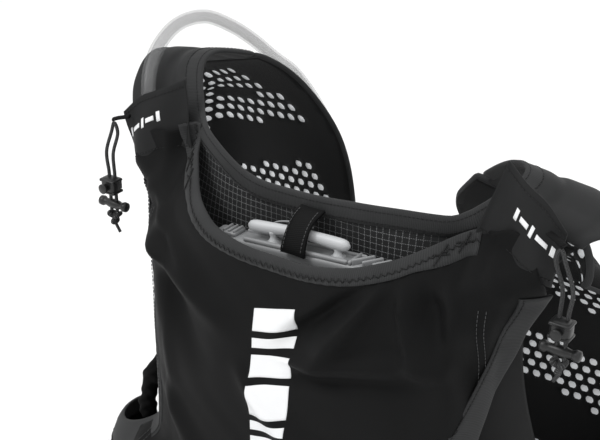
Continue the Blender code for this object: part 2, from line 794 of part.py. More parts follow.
def build_hang_tab():
    """Strap that hangs from the neck edge over the hanger bar."""
    rows = []
    path = (
        (-0.0120, 0.1440),
        (-0.0170, 0.1425),
        (-0.0235, 0.1395),
        (-0.0290, 0.1340),
        (-0.0325, 0.1270),
        (-0.0343, 0.1220),
        (-0.0352, 0.1165),
    )
    line = [spline([(y, z, 0.0) for y, z in path], i / 10) for i in range(11)]
    for p in line:
        rows.append([Vector((TAB_X + w, p.x, p.y)) for w in (-0.0085, -0.003, 0.003, 0.0085)])
    slab("hang_tab", rows, 0.0018, BLACK, flip=True)


def rail_x(side):
    return RAIL_X * side - (RIGHT_SHIFT if side > 0 else 0.0)


def build_chest_strap(level, z):
    mid = (rail_x(1.0) + rail_x(-1.0)) / 2
    for tag, side in SIDES:
        x = rail_x(side)
        rod_top, rod_low = z + RAIL_HALF, z - RAIL_HALF
        foot = 0.0072
        path = [
            (x, RAIL_Y - foot, rod_top + 0.0030),
            (x, RAIL_Y - 0.0020, rod_top + 0.0030),
            (x, RAIL_Y, rod_top),
            (x, RAIL_Y, z),
            (x, RAIL_Y, rod_low),
            (x, RAIL_Y - 0.0020, rod_low - 0.0030),
            (x, RAIL_Y - foot, rod_low - 0.0030),
        ]
        fine = []
        for a, b in zip(path, path[1:]):
            fine += [Vector(a).lerp(Vector(b), k / 3) for k in range(3)]
        fine.append(Vector(path[-1]))
        tube("strap_rail_%s_%s" % (level, tag), fine, RAIL_D, BLACK, 0.6, ring=2)
        bm = bmesh.new()
        block(bm, (x - side * 0.0015, RAIL_Y + 0.0010, z), (0.0130, 0.0090, 0.0140), 0.0012)
        glider = add("glider_%s_%s" % (level, tag), bm, BLACK, 0.45)
        bore = helper(
            lambda b: rod(b, (x, RAIL_Y, z - 0.02), (x, RAIL_Y, z + 0.02), RAIL_D / 2 + 0.0004, segments=20)
        )
        combine(glider, [bore], "DIFFERENCE")
        start, end = x - side * 0.0085, mid + side * 0.0205
        rows = []
        for i in range(2):
            rows.append([])
            for j in range(9):
                u = j / 8
                px = start + (end - start) * u
                py = RAIL_Y + 0.0018 + 0.004 * math.sin(math.pi / 2 * u)
                rows[-1].append(Vector((px, py, z + WEB_W * (i - 0.5))))
        slab("webbing_%s_%s" % (level, tag), rows, WEB_T, BLACK, flip=side < 0)
    y = RAIL_Y + 0.0052
    bm = bmesh.new()
    block(bm, (mid - 0.0085, y, z), (0.0230, 0.0080, 0.0170), 0.0016)
    socket = add("buckle_socket_" + level, bm, BLACK, 0.45)
    bore = helper(lambda b: block(b, (mid, y, z), (0.0240, 0.0040, 0.0110)))
    combine(socket, [bore], "DIFFERENCE")
    bm = bmesh.new()
    block(bm, (mid + 0.0120, y, z), (0.0160, 0.0080, 0.0170), 0.0016)
    plug = add("buckle_plug_" + level, bm, BLACK, 0.45)
    tongue = helper(lambda b: block(b, (mid, y, z), (0.0180, 0.0034, 0.0104), 0.0006))
    combine(plug, [tongue], "UNION")


def main():
    clear_scene()
    bpy.context.scene.unit_settings.scale_length = 1.0
    build_back()
    build_shell()
    build_neck_binding()
    build_straps()
    build_ports()
    for tag, side in SIDES:
        build_cord_lock(tag, side)
    build_reservoir()
    build_hose()
    build_hang_tab()
    build_chest_strap("upper", UPPER_Z)
    build_chest_strap("lower", LOWER_Z)


main()
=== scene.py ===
"""Looks of the hydration running vest: fabrics, bindings, reservoir, hose, cords and straps.

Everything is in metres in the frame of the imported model: +Z up, the wearer faces +Y, the
back pocket faces -Y, and the origin is on the wearer's side of the back pad.
"""

from __future__ import annotations

import logging
import math
from dataclasses import dataclass
from enum import Enum
from typing import Callable, Iterable, Sequence

import bmesh
import bpy
import numpy as np
from mathutils import Matrix, Vector
from mathutils.geometry import delaunay_2d_cdt


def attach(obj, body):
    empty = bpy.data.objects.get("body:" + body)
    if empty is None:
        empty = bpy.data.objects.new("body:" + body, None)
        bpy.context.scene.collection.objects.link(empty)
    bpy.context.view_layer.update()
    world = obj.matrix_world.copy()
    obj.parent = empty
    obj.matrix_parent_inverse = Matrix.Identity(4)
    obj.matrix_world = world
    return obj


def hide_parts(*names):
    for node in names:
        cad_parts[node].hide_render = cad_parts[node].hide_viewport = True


log = logging.getLogger("vest")
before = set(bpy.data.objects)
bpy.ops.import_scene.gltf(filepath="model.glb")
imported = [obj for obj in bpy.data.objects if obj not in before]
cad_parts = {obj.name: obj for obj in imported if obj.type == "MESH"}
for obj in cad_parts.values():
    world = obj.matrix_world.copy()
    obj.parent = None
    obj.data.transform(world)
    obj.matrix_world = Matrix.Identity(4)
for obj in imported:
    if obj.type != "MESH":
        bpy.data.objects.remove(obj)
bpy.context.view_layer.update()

Array = np.ndarray
Points = Sequence[Sequence[float]]
TAU = 2 * math.pi

# Sizes shared by several sub-assemblies
GAP = 0.0003
PANEL_T = 0.0018
FOAM_T = 0.0045
TAPE_W = 0.0110
PAD_T = 0.0060
HEM_Z = -0.205
YOKE_Z = 0.1530
SIDES = (("R", 1.0), ("L", -1.0))


def ease(a: float, b: float, x: Array | float) -> Array:
    """Smooth step from 0 at a to 1 at b.

    Args:
        a: Where the step starts.
        b: Where it ends, which may be below a.
        x: Numbers to step.

    Returns:
        Numbers from 0 to 1.
    """
    t = np.clip((np.asarray(x, float) - a) / (b - a), 0.0, 1.0)
    return t * t * (3.0 - 2.0 * t)


def along(points: Points, t: Array | float) -> Array:
    """Catmull-Rom curve through the points.

    Args:
        points: Points of any dimension.
        t: Places on the curve, from 0 to 1.

    Returns:
        A point for each place.
    """
    p = np.asarray(points, float)
    last = len(p) - 1
    f = np.clip(np.asarray(t, float), 0.0, 1.0) * last
    i = np.minimum(f.astype(int), last - 1)
    f = (f - i)[..., None]
    ends = np.vstack((2 * p[0] - p[1], p, 2 * p[-1] - p[-2]))
    a, b, c, d = ends[i], ends[i + 1], ends[i + 2], ends[i + 3]
    cubic = 3 * (b - c) + d - a
    return 0.5 * (2 * b + (c - a) * f + (2 * a - 5 * b + 4 * c - d) * f * f + cubic * f**3)


def even(points: Points, count: int) -> Array:
    """Points at equal steps of length along the curve through the points."""
    fine = along(points, np.linspace(0, 1, 241))
    run = np.concatenate(([0.0], np.cumsum(np.linalg.norm(np.diff(fine, axis=0), axis=1))))
    want = np.linspace(0, run[-1], count)
    return np.stack([np.interp(want, run, fine[:, k]) for k in range(fine.shape[1])], -1)


def length_of(points: Array) -> float:
    """Length of a polyline."""
    return float(np.linalg.norm(np.diff(points, axis=0), axis=1).sum())


def unit(v: Array) -> Array:
    """Vectors scaled to a length of 1."""
    return v / np.maximum(np.linalg.norm(v, axis=-1, keepdims=True), 1e-12)


def inward(curve: Array, width: float) -> Array:
    """A flat (s, z) curve moved to its left by width."""
    d = np.empty_like(curve)
    d[1:-1] = curve[2:] - curve[:-2]
    d[0], d[-1] = curve[1] - curve[0], curve[-1] - curve[-2]
    d = unit(d)
    return curve + width * np.stack((-d[:, 1], d[:, 0]), -1)


def mirrored(curve: Array) -> Array:
    """An (s, z) curve with s turned round."""
    return curve * np.array((-1.0, 1.0))


# ---------------------------------------------------------------- shader wiring


class Wire:
    """A socket of a shader tree that can be used in Python expressions."""

    def __init__(self, tree: bpy.types.NodeTree, socket: bpy.types.NodeSocket) -> None:
        """Wraps an output socket of tree."""
        self.tree = tree
        self.socket = socket

    def math(self, operation: str, *values: Wire | float, clamp: bool = False) -> Wire:
        """Adds a Math node.

        Args:
            operation: The node's operation.
            values: Its sockets in order, where self stands for the wire itself.
            clamp: Whether the result is kept from 0 to 1.

        Returns:
            The node's output.
        """
        node = self.tree.nodes.new("ShaderNodeMath")
        node.operation = operation
        node.use_clamp = clamp
        for slot, value in zip(node.inputs, values):
            if isinstance(value, Wire):
                self.tree.links.new(value.socket, slot)
            else:
                slot.default_value = value
        return Wire(self.tree, node.outputs[0])

    def __add__(self, other: Wire | float) -> Wire:
        """Sum."""
        return self.math("ADD", self, other)

    def __sub__(self, other: Wire | float) -> Wire:
        """Difference."""
        return self.math("SUBTRACT", self, other)

    def __rsub__(self, other: float) -> Wire:
        """Number minus wire."""
        return self.math("SUBTRACT", other, self)

    def __mul__(self, other: Wire | float) -> Wire:
        """Product."""
        return self.math("MULTIPLY", self, other)

    def __truediv__(self, other: Wire | float) -> Wire:
        """Quotient."""
        return self.math("DIVIDE", self, other)

    __radd__ = __add__
    __rmul__ = __mul__

    def wave(self, pitch: float, turn: float = 0.0) -> Wire:
        """Sine wave of a length in metres, from -1 to 1."""
        return self.math("SINE", self * (TAU / pitch) + turn)

    def above(self, edge: float, soft: float) -> Wire:
        """Mask that is 1 where the wire is over edge, with a soft border."""
        return self.math("ADD", (self - edge) / soft, 0.5, clamp=True)

    def greater(self, other: Wire | float) -> Wire:
        """The larger of two."""
        return self.math("MAXIMUM", self, other)


class Shader:
    """A material with its Principled shader, and a short way to add nodes."""

    def __init__(self, name: str) -> None:
        """Makes an empty node material."""
        self.material = bpy.data.materials.new(name)
        self.material.use_nodes = True
        self.tree = self.material.node_tree
        self.bsdf = self.tree.nodes["Principled BSDF"]

    def node(self, kind: str, settings: dict | None = None, out: int = 0, **values: object) -> Wire:
        """Adds a node.

        Args:
            kind: The node's type without its ShaderNode prefix.
            settings: Properties set before the sockets are.
            out: Index of the output that is returned.
            values: Sockets by name, with _ for a space; a Wire is linked, another value is set.

        Returns:
            The chosen output.
        """
        node = self.tree.nodes.new("ShaderNode" + kind)
        for key, value in (settings or {}).items():
            setattr(node, key, value)
        for key, value in values.items():
            self.put(node.inputs[key.replace("_", " ")], value)
        return Wire(self.tree, node.outputs[out])

    def put(self, slot: bpy.types.NodeSocket, value: object) -> None:
        """Links or sets one socket."""
        if isinstance(value, Wire):
            self.tree.links.new(value.socket, slot)
        else:
            slot.default_value = value

    def surface(self, **values: object) -> None:
        """Sets or links sockets of the Principled shader by name, with _ for a space."""
        for key, value in values.items():
            self.put(self.bsdf.inputs[key.replace("_", " ")], value)

    def axes(self, source: str = "cloth") -> tuple[Wire, Wire, Wire]:
        """Coordinates in metres: the piece's own map by name, or object for Object."""
        if source == "object":
            place = self.node("TexCoord", out=3)
        else:
            place = self.node("UVMap", {"uv_map": source})
        node = self.tree.nodes.new("ShaderNodeSeparateXYZ")
        self.tree.links.new(place.socket, node.inputs[0])
        return tuple(Wire(self.tree, node.outputs[k]) for k in range(3))

    def noise(self, scale: float, detail: float = 3.0, source: str = "object") -> Wire:
        """Noise of about 0 to 1 on Object coordinates or on a map."""
        if source == "object":
            place = self.node("TexCoord", out=3)
        else:
            place = self.node("UVMap", {"uv_map": source})
        return self.node("TexNoise", Vector=place, Scale=scale, Detail=detail, Roughness=0.55)

    def blend(self, mask: Wire | float, low: Sequence[float], high: Sequence[float] | Wire) -> Wire:
        """Colour between low and high by mask."""
        node = self.tree.nodes.new("ShaderNodeMix")
        node.data_type = "RGBA"
        self.put(node.inputs[0], mask)
        self.put(node.inputs[6], low if isinstance(low, Wire) else (*low, 1.0))
        self.put(node.inputs[7], high if isinstance(high, Wire) else (*high, 1.0))
        return Wire(self.tree, node.outputs[2])

    def bump(self, height: Wire, distance: float, strength: float = 1.0) -> Wire:
        """Normal of a height of 0 to 1 that stands distance proud."""
        return self.node("Bump", Height=height, Distance=distance, Strength=strength)


class Pattern(Enum):
    """Surface structures that a finish can have."""

    WEAVE = "weave"
    KNIT = "knit"
    RIB = "rib"
    RIPSTOP = "ripstop"
    NET = "net"
    WEBBING = "webbing"
    BRAID = "braid"
    MOULDED = "moulded"
    FILM = "film"
    THREAD = "thread"
    PRINT = "print"


@dataclass(frozen=True)
class Finish:
    """One finish: its colours, gloss and structure, with the model's material slot."""

    name: str
    slot: str
    pattern: Pattern
    dark: tuple[float, float, float]
    light: tuple[float, float, float]
    rough: float = 0.8
    pitch: float = 0.0006
    depth: float = 0.00012
    sheen: float = 0.0
    alpha: float = 1.0
    clear: float = 0.0
    gloss: float = 0.5
    # Strength of a painted glow: the light colour given off as emission, painted light on a part that is no
    # lamp.
    painted_glow: float = 0.0

    def material(self) -> bpy.types.Material:
        """The finish's material, made on first use."""
        ready = bpy.data.materials.get(self.name)
        if ready is not None:
            return ready
        shader = Shader(self.name)
        self.dress(shader)
        shader.surface(Specular_IOR_Level=self.gloss)
        # Painted light: emission in the finish's light colour makes the surface glow by itself.
        if self.painted_glow:
            shader.surface(Emission_Color=(*self.light, 1.0), Emission_Strength=self.painted_glow)
        if self.sheen:
            shader.surface(Sheen_Weight=self.sheen, Sheen_Roughness=0.45)
        if self.alpha < 1.0:
            shader.surface(Alpha=self.alpha)
        if self.clear:
            shader.surface(Coat_Weight=self.clear, Coat_Roughness=0.12)
        return shader.material

    def dress(self, shader: Shader) -> None:
        """Wires colour, roughness and bump for the pattern."""
        mottle = shader.noise(38.0, 4.0)
        worn = shader.noise(9.0, 2.0)
        cloth = self.pattern not in (Pattern.MOULDED, Pattern.FILM)
        u, v, _ = shader.axes("cloth" if cloth else "object")
        p = self.pitch
        if self.pattern is Pattern.WEAVE:
            cross = u.wave(p) * v.wave(p)
            slub = shader.noise(900.0, 2.0, "cloth")
            height = cross * 0.35 + slub * 0.5 + 0.4
            tone = mottle * 0.45 + cross * 0.12 + worn * 0.35
        elif self.pattern is Pattern.KNIT:
            rib = u.wave(p).math("ABSOLUTE", u.wave(p))
            loop = (v + rib * (p * 0.35)).wave(p * 0.8)
            height = rib * 0.6 + loop * 0.25 + 0.2
            tone = mottle * 0.5 + rib * 0.3
        elif self.pattern is Pattern.RIB:
            rib = u.wave(p)
            height = rib * 0.35 + shader.noise(700.0, 2.0, "cloth") * 0.4 + 0.3
            tone = mottle * 0.5 + rib * 0.16 + 0.1
        elif self.pattern is Pattern.RIPSTOP:
            height, tone = self.ripstop(shader, u, v, mottle)
        elif self.pattern is Pattern.NET:
            a = (u + v * 0.577).wave(p)
            b = (u - v * 0.577).wave(p)
            c = v.wave(p * 0.866)
            height = (a + b + c) * 0.22 + 0.5
            tone = height * 0.7 + mottle * 0.3
        elif self.pattern is Pattern.WEBBING:
            cross = (u.wave(p) + (v + u * 0.5).wave(p * 1.6)) * 0.5
            height = cross * 0.4 + 0.5
            tone = mottle * 0.4 + cross * 0.2 + 0.2
        elif self.pattern is Pattern.BRAID:
            a = (u + v).wave(p)
            b = (u - v).wave(p)
            height = (a * b) * 0.5 + 0.5
            tone = height.above(0.86, 0.1) * 0.9 + mottle * 0.1
        elif self.pattern is Pattern.THREAD:
            height = (u + v * 0.6).wave(p) * 0.5 + 0.5
            tone = height * 0.5 + mottle * 0.4
        elif self.pattern is Pattern.PRINT:
            height = shader.noise(1500.0, 2.0, "cloth")
            tone = mottle * 0.6 + height * 0.3
        else:
            height = shader.noise(420.0 if self.pattern is Pattern.MOULDED else 60.0, 3.0)
            tone = mottle * 0.5 + worn * 0.4
        rough = mottle * 0.16 + (self.rough - 0.08)
        shader.surface(
            Base_Color=shader.blend(tone, self.dark, self.light),
            Roughness=rough,
            Normal=shader.bump(height, self.depth),
        )

    def ripstop(self, shader: Shader, u: Wire, v: Wire, mottle: Wire) -> tuple[Wire, Wire]:
        """Square grid of raised yarns with pale dashes on it.

        Args:
            shader: The material being wired.
            u: Distance across the cloth.
            v: Distance along the cloth.
            mottle: Slow noise.

        Returns:
            Height and tone.
        """
        p = self.pitch
        line_u = (u / p).math("PINGPONG", u / p, 0.5).above(0.452, 0.035)
        line_v = (v / p).math("PINGPONG", v / p, 0.5).above(0.452, 0.035)
        dash_u = v.wave(p / 4).above(0.15, 0.3)
        dash_v = u.wave(p / 4).above(0.15, 0.3)
        fade = shader.noise(26.0, 2.0, "cloth").above(0.44, 0.22)
        dots = (line_u * dash_u).greater(line_v * dash_v) * (fade * 0.75 + 0.25)
        weave = u.wave(p / 8) * v.wave(p / 8)
        inside = 1.0 - u.math("ABSOLUTE", u).above(0.112, 0.004)
        height = line_u.greater(line_v) * inside * 0.6 + weave * 0.15 + 0.2
        return height, dots * inside * 0.62 + inside * 0.030 + mottle * 0.02 + weave * 0.010


def grey(value: float, blue: float = 0.04) -> tuple[float, float, float]:
    """A nearly neutral colour, a little bluer than grey."""
    return value, value * (1 + blue / 2), value * (1 + blue)


SHELL = Finish(
    "shell_stretch_woven", "shell", Pattern.WEAVE, grey(0.0040), grey(0.0105),
    rough=0.62, pitch=0.0007, depth=0.00010, sheen=0.015, gloss=0.08,
)
YOKE_CLOTH = Finish(
    "yoke_stretch_woven", "shell", Pattern.WEAVE, grey(0.012), grey(0.026),
    rough=0.62, pitch=0.0007, depth=0.00010, sheen=0.02, gloss=0.10,
)
STRAP_CLOTH = Finish(
    "strap_stretch_woven", "foam", Pattern.WEAVE, grey(0.020), grey(0.044),
    rough=0.66, pitch=0.0007, depth=0.0001, sheen=0.05, gloss=0.10,
)
TAPE = Finish(
    "binding_tape", "tape", Pattern.RIB, grey(0.024), grey(0.056),
    rough=0.7, pitch=0.0011, depth=0.00016, sheen=0.06, gloss=0.10,
)
LINER = Finish(
    "ripstop_lining", "liner", Pattern.RIPSTOP, grey(0.006), grey(0.50),
    rough=0.6, pitch=0.0041, depth=0.00012, gloss=0.10,
)
PERFORATED = Finish(
    "perforated_knit", "perforated", Pattern.KNIT, grey(0.007), grey(0.020),
    rough=0.85, pitch=0.0009, depth=0.00012, sheen=0.05, gloss=0.10,
)
# Pale backing net with a painted glow: its emission brightens the net seen through the perforations, where
# the recess shades it.
BACKING = Finish(
    "pale_backing_net", "perforated", Pattern.NET, grey(0.70), grey(0.92),
    rough=0.8, pitch=0.0011, depth=0.0002, painted_glow=0.20,
)
SPACER = Finish(
    "spacer_net", "liner", Pattern.NET, grey(0.010), grey(0.040),
    rough=0.85, pitch=0.0022, depth=0.0005, gloss=0.10,
)
POCKET_NET = Finish(
    "stretch_pocket_net", "shell", Pattern.NET, grey(0.007), grey(0.028),
    rough=0.75, pitch=0.0014, depth=0.0002, gloss=0.10,
)
WING_NET = Finish(
    "side_stretch_net", "liner", Pattern.KNIT, grey(0.003), grey(0.009),
    rough=0.8, pitch=0.0013, depth=0.0002, gloss=0.10,
)
THREAD = Finish(
    "dark_thread", "tape", Pattern.THREAD, grey(0.006), grey(0.018),
    rough=0.6, pitch=0.0004, depth=0.00005, gloss=0.3,
)
THREAD_PALE = Finish(
    "grey_thread", "tape", Pattern.THREAD, grey(0.060), grey(0.11),
    rough=0.6, pitch=0.0004, depth=0.00005, gloss=0.3,
)
PRINT_WHITE = Finish(
    "reflective_print", "shell", Pattern.PRINT, grey(0.78, 0.02), grey(0.92, 0.02),
    rough=0.45, pitch=0.0006, depth=0.00003,
)
HARD_BLACK = Finish(
    "moulded_black", "hard_black", Pattern.MOULDED, grey(0.008), grey(0.022),
    rough=0.38, pitch=0.001, depth=0.00004, gloss=0.4,
)
CLIP_GREY = Finish(
    "moulded_grey", "clip_grey", Pattern.MOULDED, grey(0.22), grey(0.34),
    rough=0.42, pitch=0.001, depth=0.00004,
)
BAR_GREY = Finish(
    "moulded_pale_grey", "clip_grey", Pattern.MOULDED, grey(0.46), grey(0.62),
    rough=0.40, pitch=0.001, depth=0.00004,
)
FILM = Finish(
    "reservoir_film", "film", Pattern.FILM, (0.20, 0.23, 0.25), (0.34, 0.37, 0.39),
    rough=0.28, pitch=0.001, depth=0.0012, alpha=0.9, clear=0.4,
)
HOSE = Finish(
    "hose_milky", "hose_clear", Pattern.FILM, grey(0.20, 0.02), grey(0.28, 0.02),
    rough=0.30, pitch=0.001, depth=0.00006, alpha=0.23, clear=0.2, gloss=0.35,
)
SILICONE = Finish(
    "silicone_smoke", "silicone", Pattern.MOULDED, (0.26, 0.28, 0.30), (0.36, 0.38, 0.40),
    rough=0.5, pitch=0.001, depth=0.00005, sheen=0.1,
)
CORD = Finish(
    "elastic_cord", "cord", Pattern.BRAID, grey(0.008), grey(0.24),
    rough=0.75, pitch=0.0016, depth=0.00025, gloss=0.3,
)
WEBBING = Finish(
    "woven_webbing", "webbing", Pattern.WEBBING, grey(0.007), grey(0.032),
    rough=0.7, pitch=0.0012, depth=0.0002, gloss=0.3,
)
TAB = Finish(
    "tab_webbing", "webbing", Pattern.WEBBING, grey(0.004), grey(0.012),
    rough=0.75, pitch=0.0012, depth=0.00018, gloss=0.10,
)


# ---------------------------------------------------------------- mesh making

Placer = Callable[[Array, Array], tuple[Array, Array, Array]]


def finish_mesh(name: str, bm: bmesh.types.BMesh, finish: Finish, smooth: bool = True) -> bpy.types.Object:
    """Turns a bmesh into an object of one finish, with a cloth map if it has none.

    Args:
        name: Name of the piece.
        bm: The mesh, which is freed.
        finish: Its finish.
        smooth: Whether it is shaded smooth.

    Returns:
        The object, linked to the scene.
    """
    if not bm.loops.layers.uv.get("cloth"):
        layer = bm.loops.layers.uv.new("cloth")
        for face in bm.faces:
            for loop in face.loops:
                loop[layer].uv = (loop.vert.co.x + loop.vert.co.y * 0.7, loop.vert.co.z)
    mesh = bpy.data.meshes.new(name)
    bm.to_mesh(mesh)
    bm.free()
    obj = bpy.data.objects.new(name, mesh)
    bpy.context.scene.collection.objects.link(obj)
    mesh.materials.append(finish.material())
    if smooth:
        mesh.shade_smooth()
    return obj


def grid(place: Placer, across: int, up: int, close: bool = False, caps: bool = False) -> bmesh.types.BMesh:
    """A square grid whose points a function puts in place.

    Args:
        place: Takes u and v from 0 to 1, and gives points, cloth map and outward direction.
        across: Faces along u.
        up: Faces along v.
        close: Whether the edges that meet are welded.
        caps: Whether open ends are closed.

    Returns:
        The mesh, with its faces outwards.
    """
    bm = bmesh.new()
    bmesh.ops.create_grid(bm, x_segments=across, y_segments=up, size=0.5)
    flat = np.array([v.co for v in bm.verts])
    points, cloth, out = place(flat[:, 0] + 0.5, flat[:, 1] + 0.5)
    layer = bm.loops.layers.uv.new("cloth")
    for vert, p in zip(bm.verts, points):
        vert.co = p
    bm.normal_update()
    out = np.broadcast_to(out, points.shape)
    total = 0.0
    for face in bm.faces:
        for loop in face.loops:
            loop[layer].uv = cloth[loop.vert.index]
        total += face.normal.dot(Vector(out[face.verts[0].index])) * face.calc_area()
    if total < 0:
        bmesh.ops.reverse_faces(bm, faces=bm.faces)
    if close:
        bmesh.ops.remove_doubles(bm, verts=bm.verts, dist=1e-6)
    if caps:
        bmesh.ops.holes_fill(bm, edges=[e for e in bm.edges if e.is_boundary], sides=0)
    return bm


def thicken(obj: bpy.types.Object, thick: float, smooth: int = 0, rim: float = 0.0) -> bpy.types.Object:
    """Gives a sheet its thickness inwards, with a rounded rim or subdivision if asked."""
    mod = obj.modifiers.new("thickness", "SOLIDIFY")
    mod.thickness = thick
    mod.offset = -1.0
    mod.use_quality_normals = True
    if rim:
        soft = obj.modifiers.new("rim", "BEVEL")
        soft.width = rim
        soft.segments = 2
        soft.limit_method = "ANGLE"
        soft.angle_limit = math.radians(60)
    if smooth:
        sub = obj.modifiers.new("smooth", "SUBSURF")
        sub.levels = sub.render_levels = smooth
    return obj


def frames(path: Array) -> tuple[Array, Array, Array]:
    """Direction and two cross directions along a polyline, without twist."""
    way = np.empty_like(path)
    way[1:-1] = path[2:] - path[:-2]
    way[0], way[-1] = path[1] - path[0], path[-1] - path[-2]
    way = unit(way)
    side = np.empty_like(path)
    start = np.array((0.0, 0.0, 1.0)) if abs(way[0, 2]) < 0.9 else np.array((0.0, 1.0, 0.0))
    last = unit(np.cross(way[0], start))
    for i, w in enumerate(way):
        last = unit(last - w * float(last @ w))
        side[i] = last
    return way, side, np.cross(way, side)


def tube(
    path: Array, radius: float | Array, around: int = 12, flat: tuple[float, float] = (1.0, 1.0),
    cap: bool = True
) -> bmesh.types.BMesh:
    """A tube along a polyline.

    Args:
        path: Its centre line.
        radius: One radius, or one for each point.
        around: Faces round it.
        flat: Scale of the section in its two directions.
        cap: Whether its ends are closed.

    Returns:
        The mesh, with distance round and along it as the cloth map.
    """
    _, side, top = frames(path)
    r = np.broadcast_to(np.asarray(radius, float), (len(path),))
    run = np.concatenate(([0.0], np.cumsum(np.linalg.norm(np.diff(path, axis=0), axis=1))))

    def place(u: Array, v: Array) -> tuple[Array, Array, Array]:
        """Points round the path."""
        k = np.rint(v * (len(path) - 1)).astype(int)
        out = side[k] * (np.cos(TAU * u) * flat[0])[:, None] + top[k] * (np.sin(TAU * u) * flat[1])[:, None]
        cloth = np.stack((u * TAU * float(r.mean()), run[k]), -1)
        return path[k] + out * r[k][:, None], cloth, out

    return grid(place, around, len(path) - 1, close=True, caps=cap)


def lathe(
    start: Sequence[float], way: Sequence[float], profile: Points, around: int = 28
) -> bmesh.types.BMesh:
    """A turned shape whose profile is (distance along, radius) from start in direction way."""
    p = np.asarray(profile, float)
    path = np.asarray(start, float) + unit(np.asarray(way, float)) * p[:, :1]
    axis = unit(np.asarray(way, float))
    side = unit(np.cross(axis, (0.0, 0.0, 1.0) if abs(axis[2]) < 0.9 else (0.0, 1.0, 0.0)))
    top = np.cross(axis, side)

    def place(u: Array, v: Array) -> tuple[Array, Array, Array]:
        """Points of the turned surface."""
        k = np.rint(v * (len(p) - 1)).astype(int)
        out = side * np.cos(TAU * u)[:, None] + top * np.sin(TAU * u)[:, None]
        return path[k] + out * p[k, 1:2], np.stack((u * TAU * 0.008, p[k, 0]), -1), out

    return grid(place, around, len(p) - 1, close=True, caps=True)


def block(
    bm: bmesh.types.BMesh, centre: Sequence[float], size: Sequence[float], bevel: float = 0.0,
    turn: Matrix | None = None, taper: float = 1.0,
) -> list:
    """A box with rounded edges in bm.

    Args:
        bm: Mesh it is added to.
        centre: Its centre.
        size: Its size along X, Y and Z.
        bevel: Radius of its edges.
        turn: Turn about its centre.
        taper: Width of its top against its bottom.

    Returns:
        Its vertices.
    """
    made = bmesh.ops.create_cube(bm, size=1.0)["verts"]
    for v in made:
        if v.co.z > 0:
            v.co.x *= taper
            v.co.y *= taper
    bmesh.ops.scale(bm, vec=Vector(size), verts=made)
    if bevel:
        edges = list({e for v in made for e in v.link_edges})
        made = bmesh.ops.bevel(
            bm, geom=edges, offset=bevel, segments=3, affect="EDGES", profile=0.5, material=-1
        )["verts"]
    if turn is not None:
        bmesh.ops.rotate(bm, verts=made, cent=(0, 0, 0), matrix=turn)
    bmesh.ops.translate(bm, vec=Vector(centre), verts=made)
    return made


def join(parts: Iterable[bmesh.types.BMesh]) -> bmesh.types.BMesh:
    """One bmesh of several, which are freed."""
    whole = bmesh.new()
    for part in parts:
        mesh = bpy.data.meshes.new("part")
        part.to_mesh(mesh)
        part.free()
        whole.from_mesh(mesh)
        bpy.data.meshes.remove(mesh)
    return whole


def stitches(
    points: Array, normal: Array, width: float, step: float, size: float = 0.00032
) -> bmesh.types.BMesh:
    """A zigzag seam, or a straight row of stitches where width is 0.

    Args:
        points: The seam's line.
        normal: Outward direction at each point.
        width: Distance from side to side of the zigzag.
        step: Length of one stitch along the line.
        size: Radius of the thread.

    Returns:
        One small lens for each stitch.
    """
    run = np.concatenate(([0.0], np.cumsum(np.linalg.norm(np.diff(points, axis=0), axis=1))))
    count = max(2, int(run[-1] / step))
    at = np.linspace(0, run[-1], count + 1)
    line = np.stack([np.interp(at, run, points[:, k]) for k in range(3)], -1)
    out = unit(np.stack([np.interp(at, run, normal[:, k]) for k in range(3)], -1))
    way = unit(np.gradient(line, axis=0))
    side = np.cross(way, out)
    swing = np.where(np.arange(count + 1) % 2 == 0, 0.5, -0.5)[:, None] * width
    ends = line + side * swing + out * size * 0.5
    bm = bmesh.new()
    for i in range(count):
        a, b = ends[i], ends[i + 1]
        if not width:
            a, b = a + (b - a) * 0.16, b - (b - a) * 0.16
        made = bmesh.ops.create_cone(
            bm, cap_ends=True, segments=5, radius1=size, radius2=size, depth=float(np.linalg.norm(b - a))
        )["verts"]
        turn = Vector(b - a).to_track_quat("Z", "Y").to_matrix()
        bmesh.ops.rotate(bm, verts=made, cent=(0, 0, 0), matrix=turn)
        bmesh.ops.translate(bm, vec=Vector((a + b) / 2), verts=made)
    return bm


# ---------------------------------------------------------------- the vest's surfaces


@dataclass(frozen=True)
class Fold:
    """A crease on the cloth, from start to end as (s, z)."""

    start: tuple[float, float]
    end: tuple[float, float]
    height: float
    width: float

    def lift(self, s: Array, z: Array) -> Array:
        """Height of the crease at points of the cloth."""
        a, b = np.array(self.start), np.array(self.end)
        span = float(np.linalg.norm(b - a))
        way = (b - a) / span
        u = (s - a[0]) * way[0] + (z - a[1]) * way[1]
        d = (s - a[0]) * -way[1] + (z - a[1]) * way[0]
        t = u / span
        wide = self.width * (0.55 + 0.9 * np.clip(t, 0, 1))
        fade = ease(-0.12, 0.18, t) * ease(1.15, 0.65, t)
        return self.height * fade * np.exp(-((d / wide) ** 2))


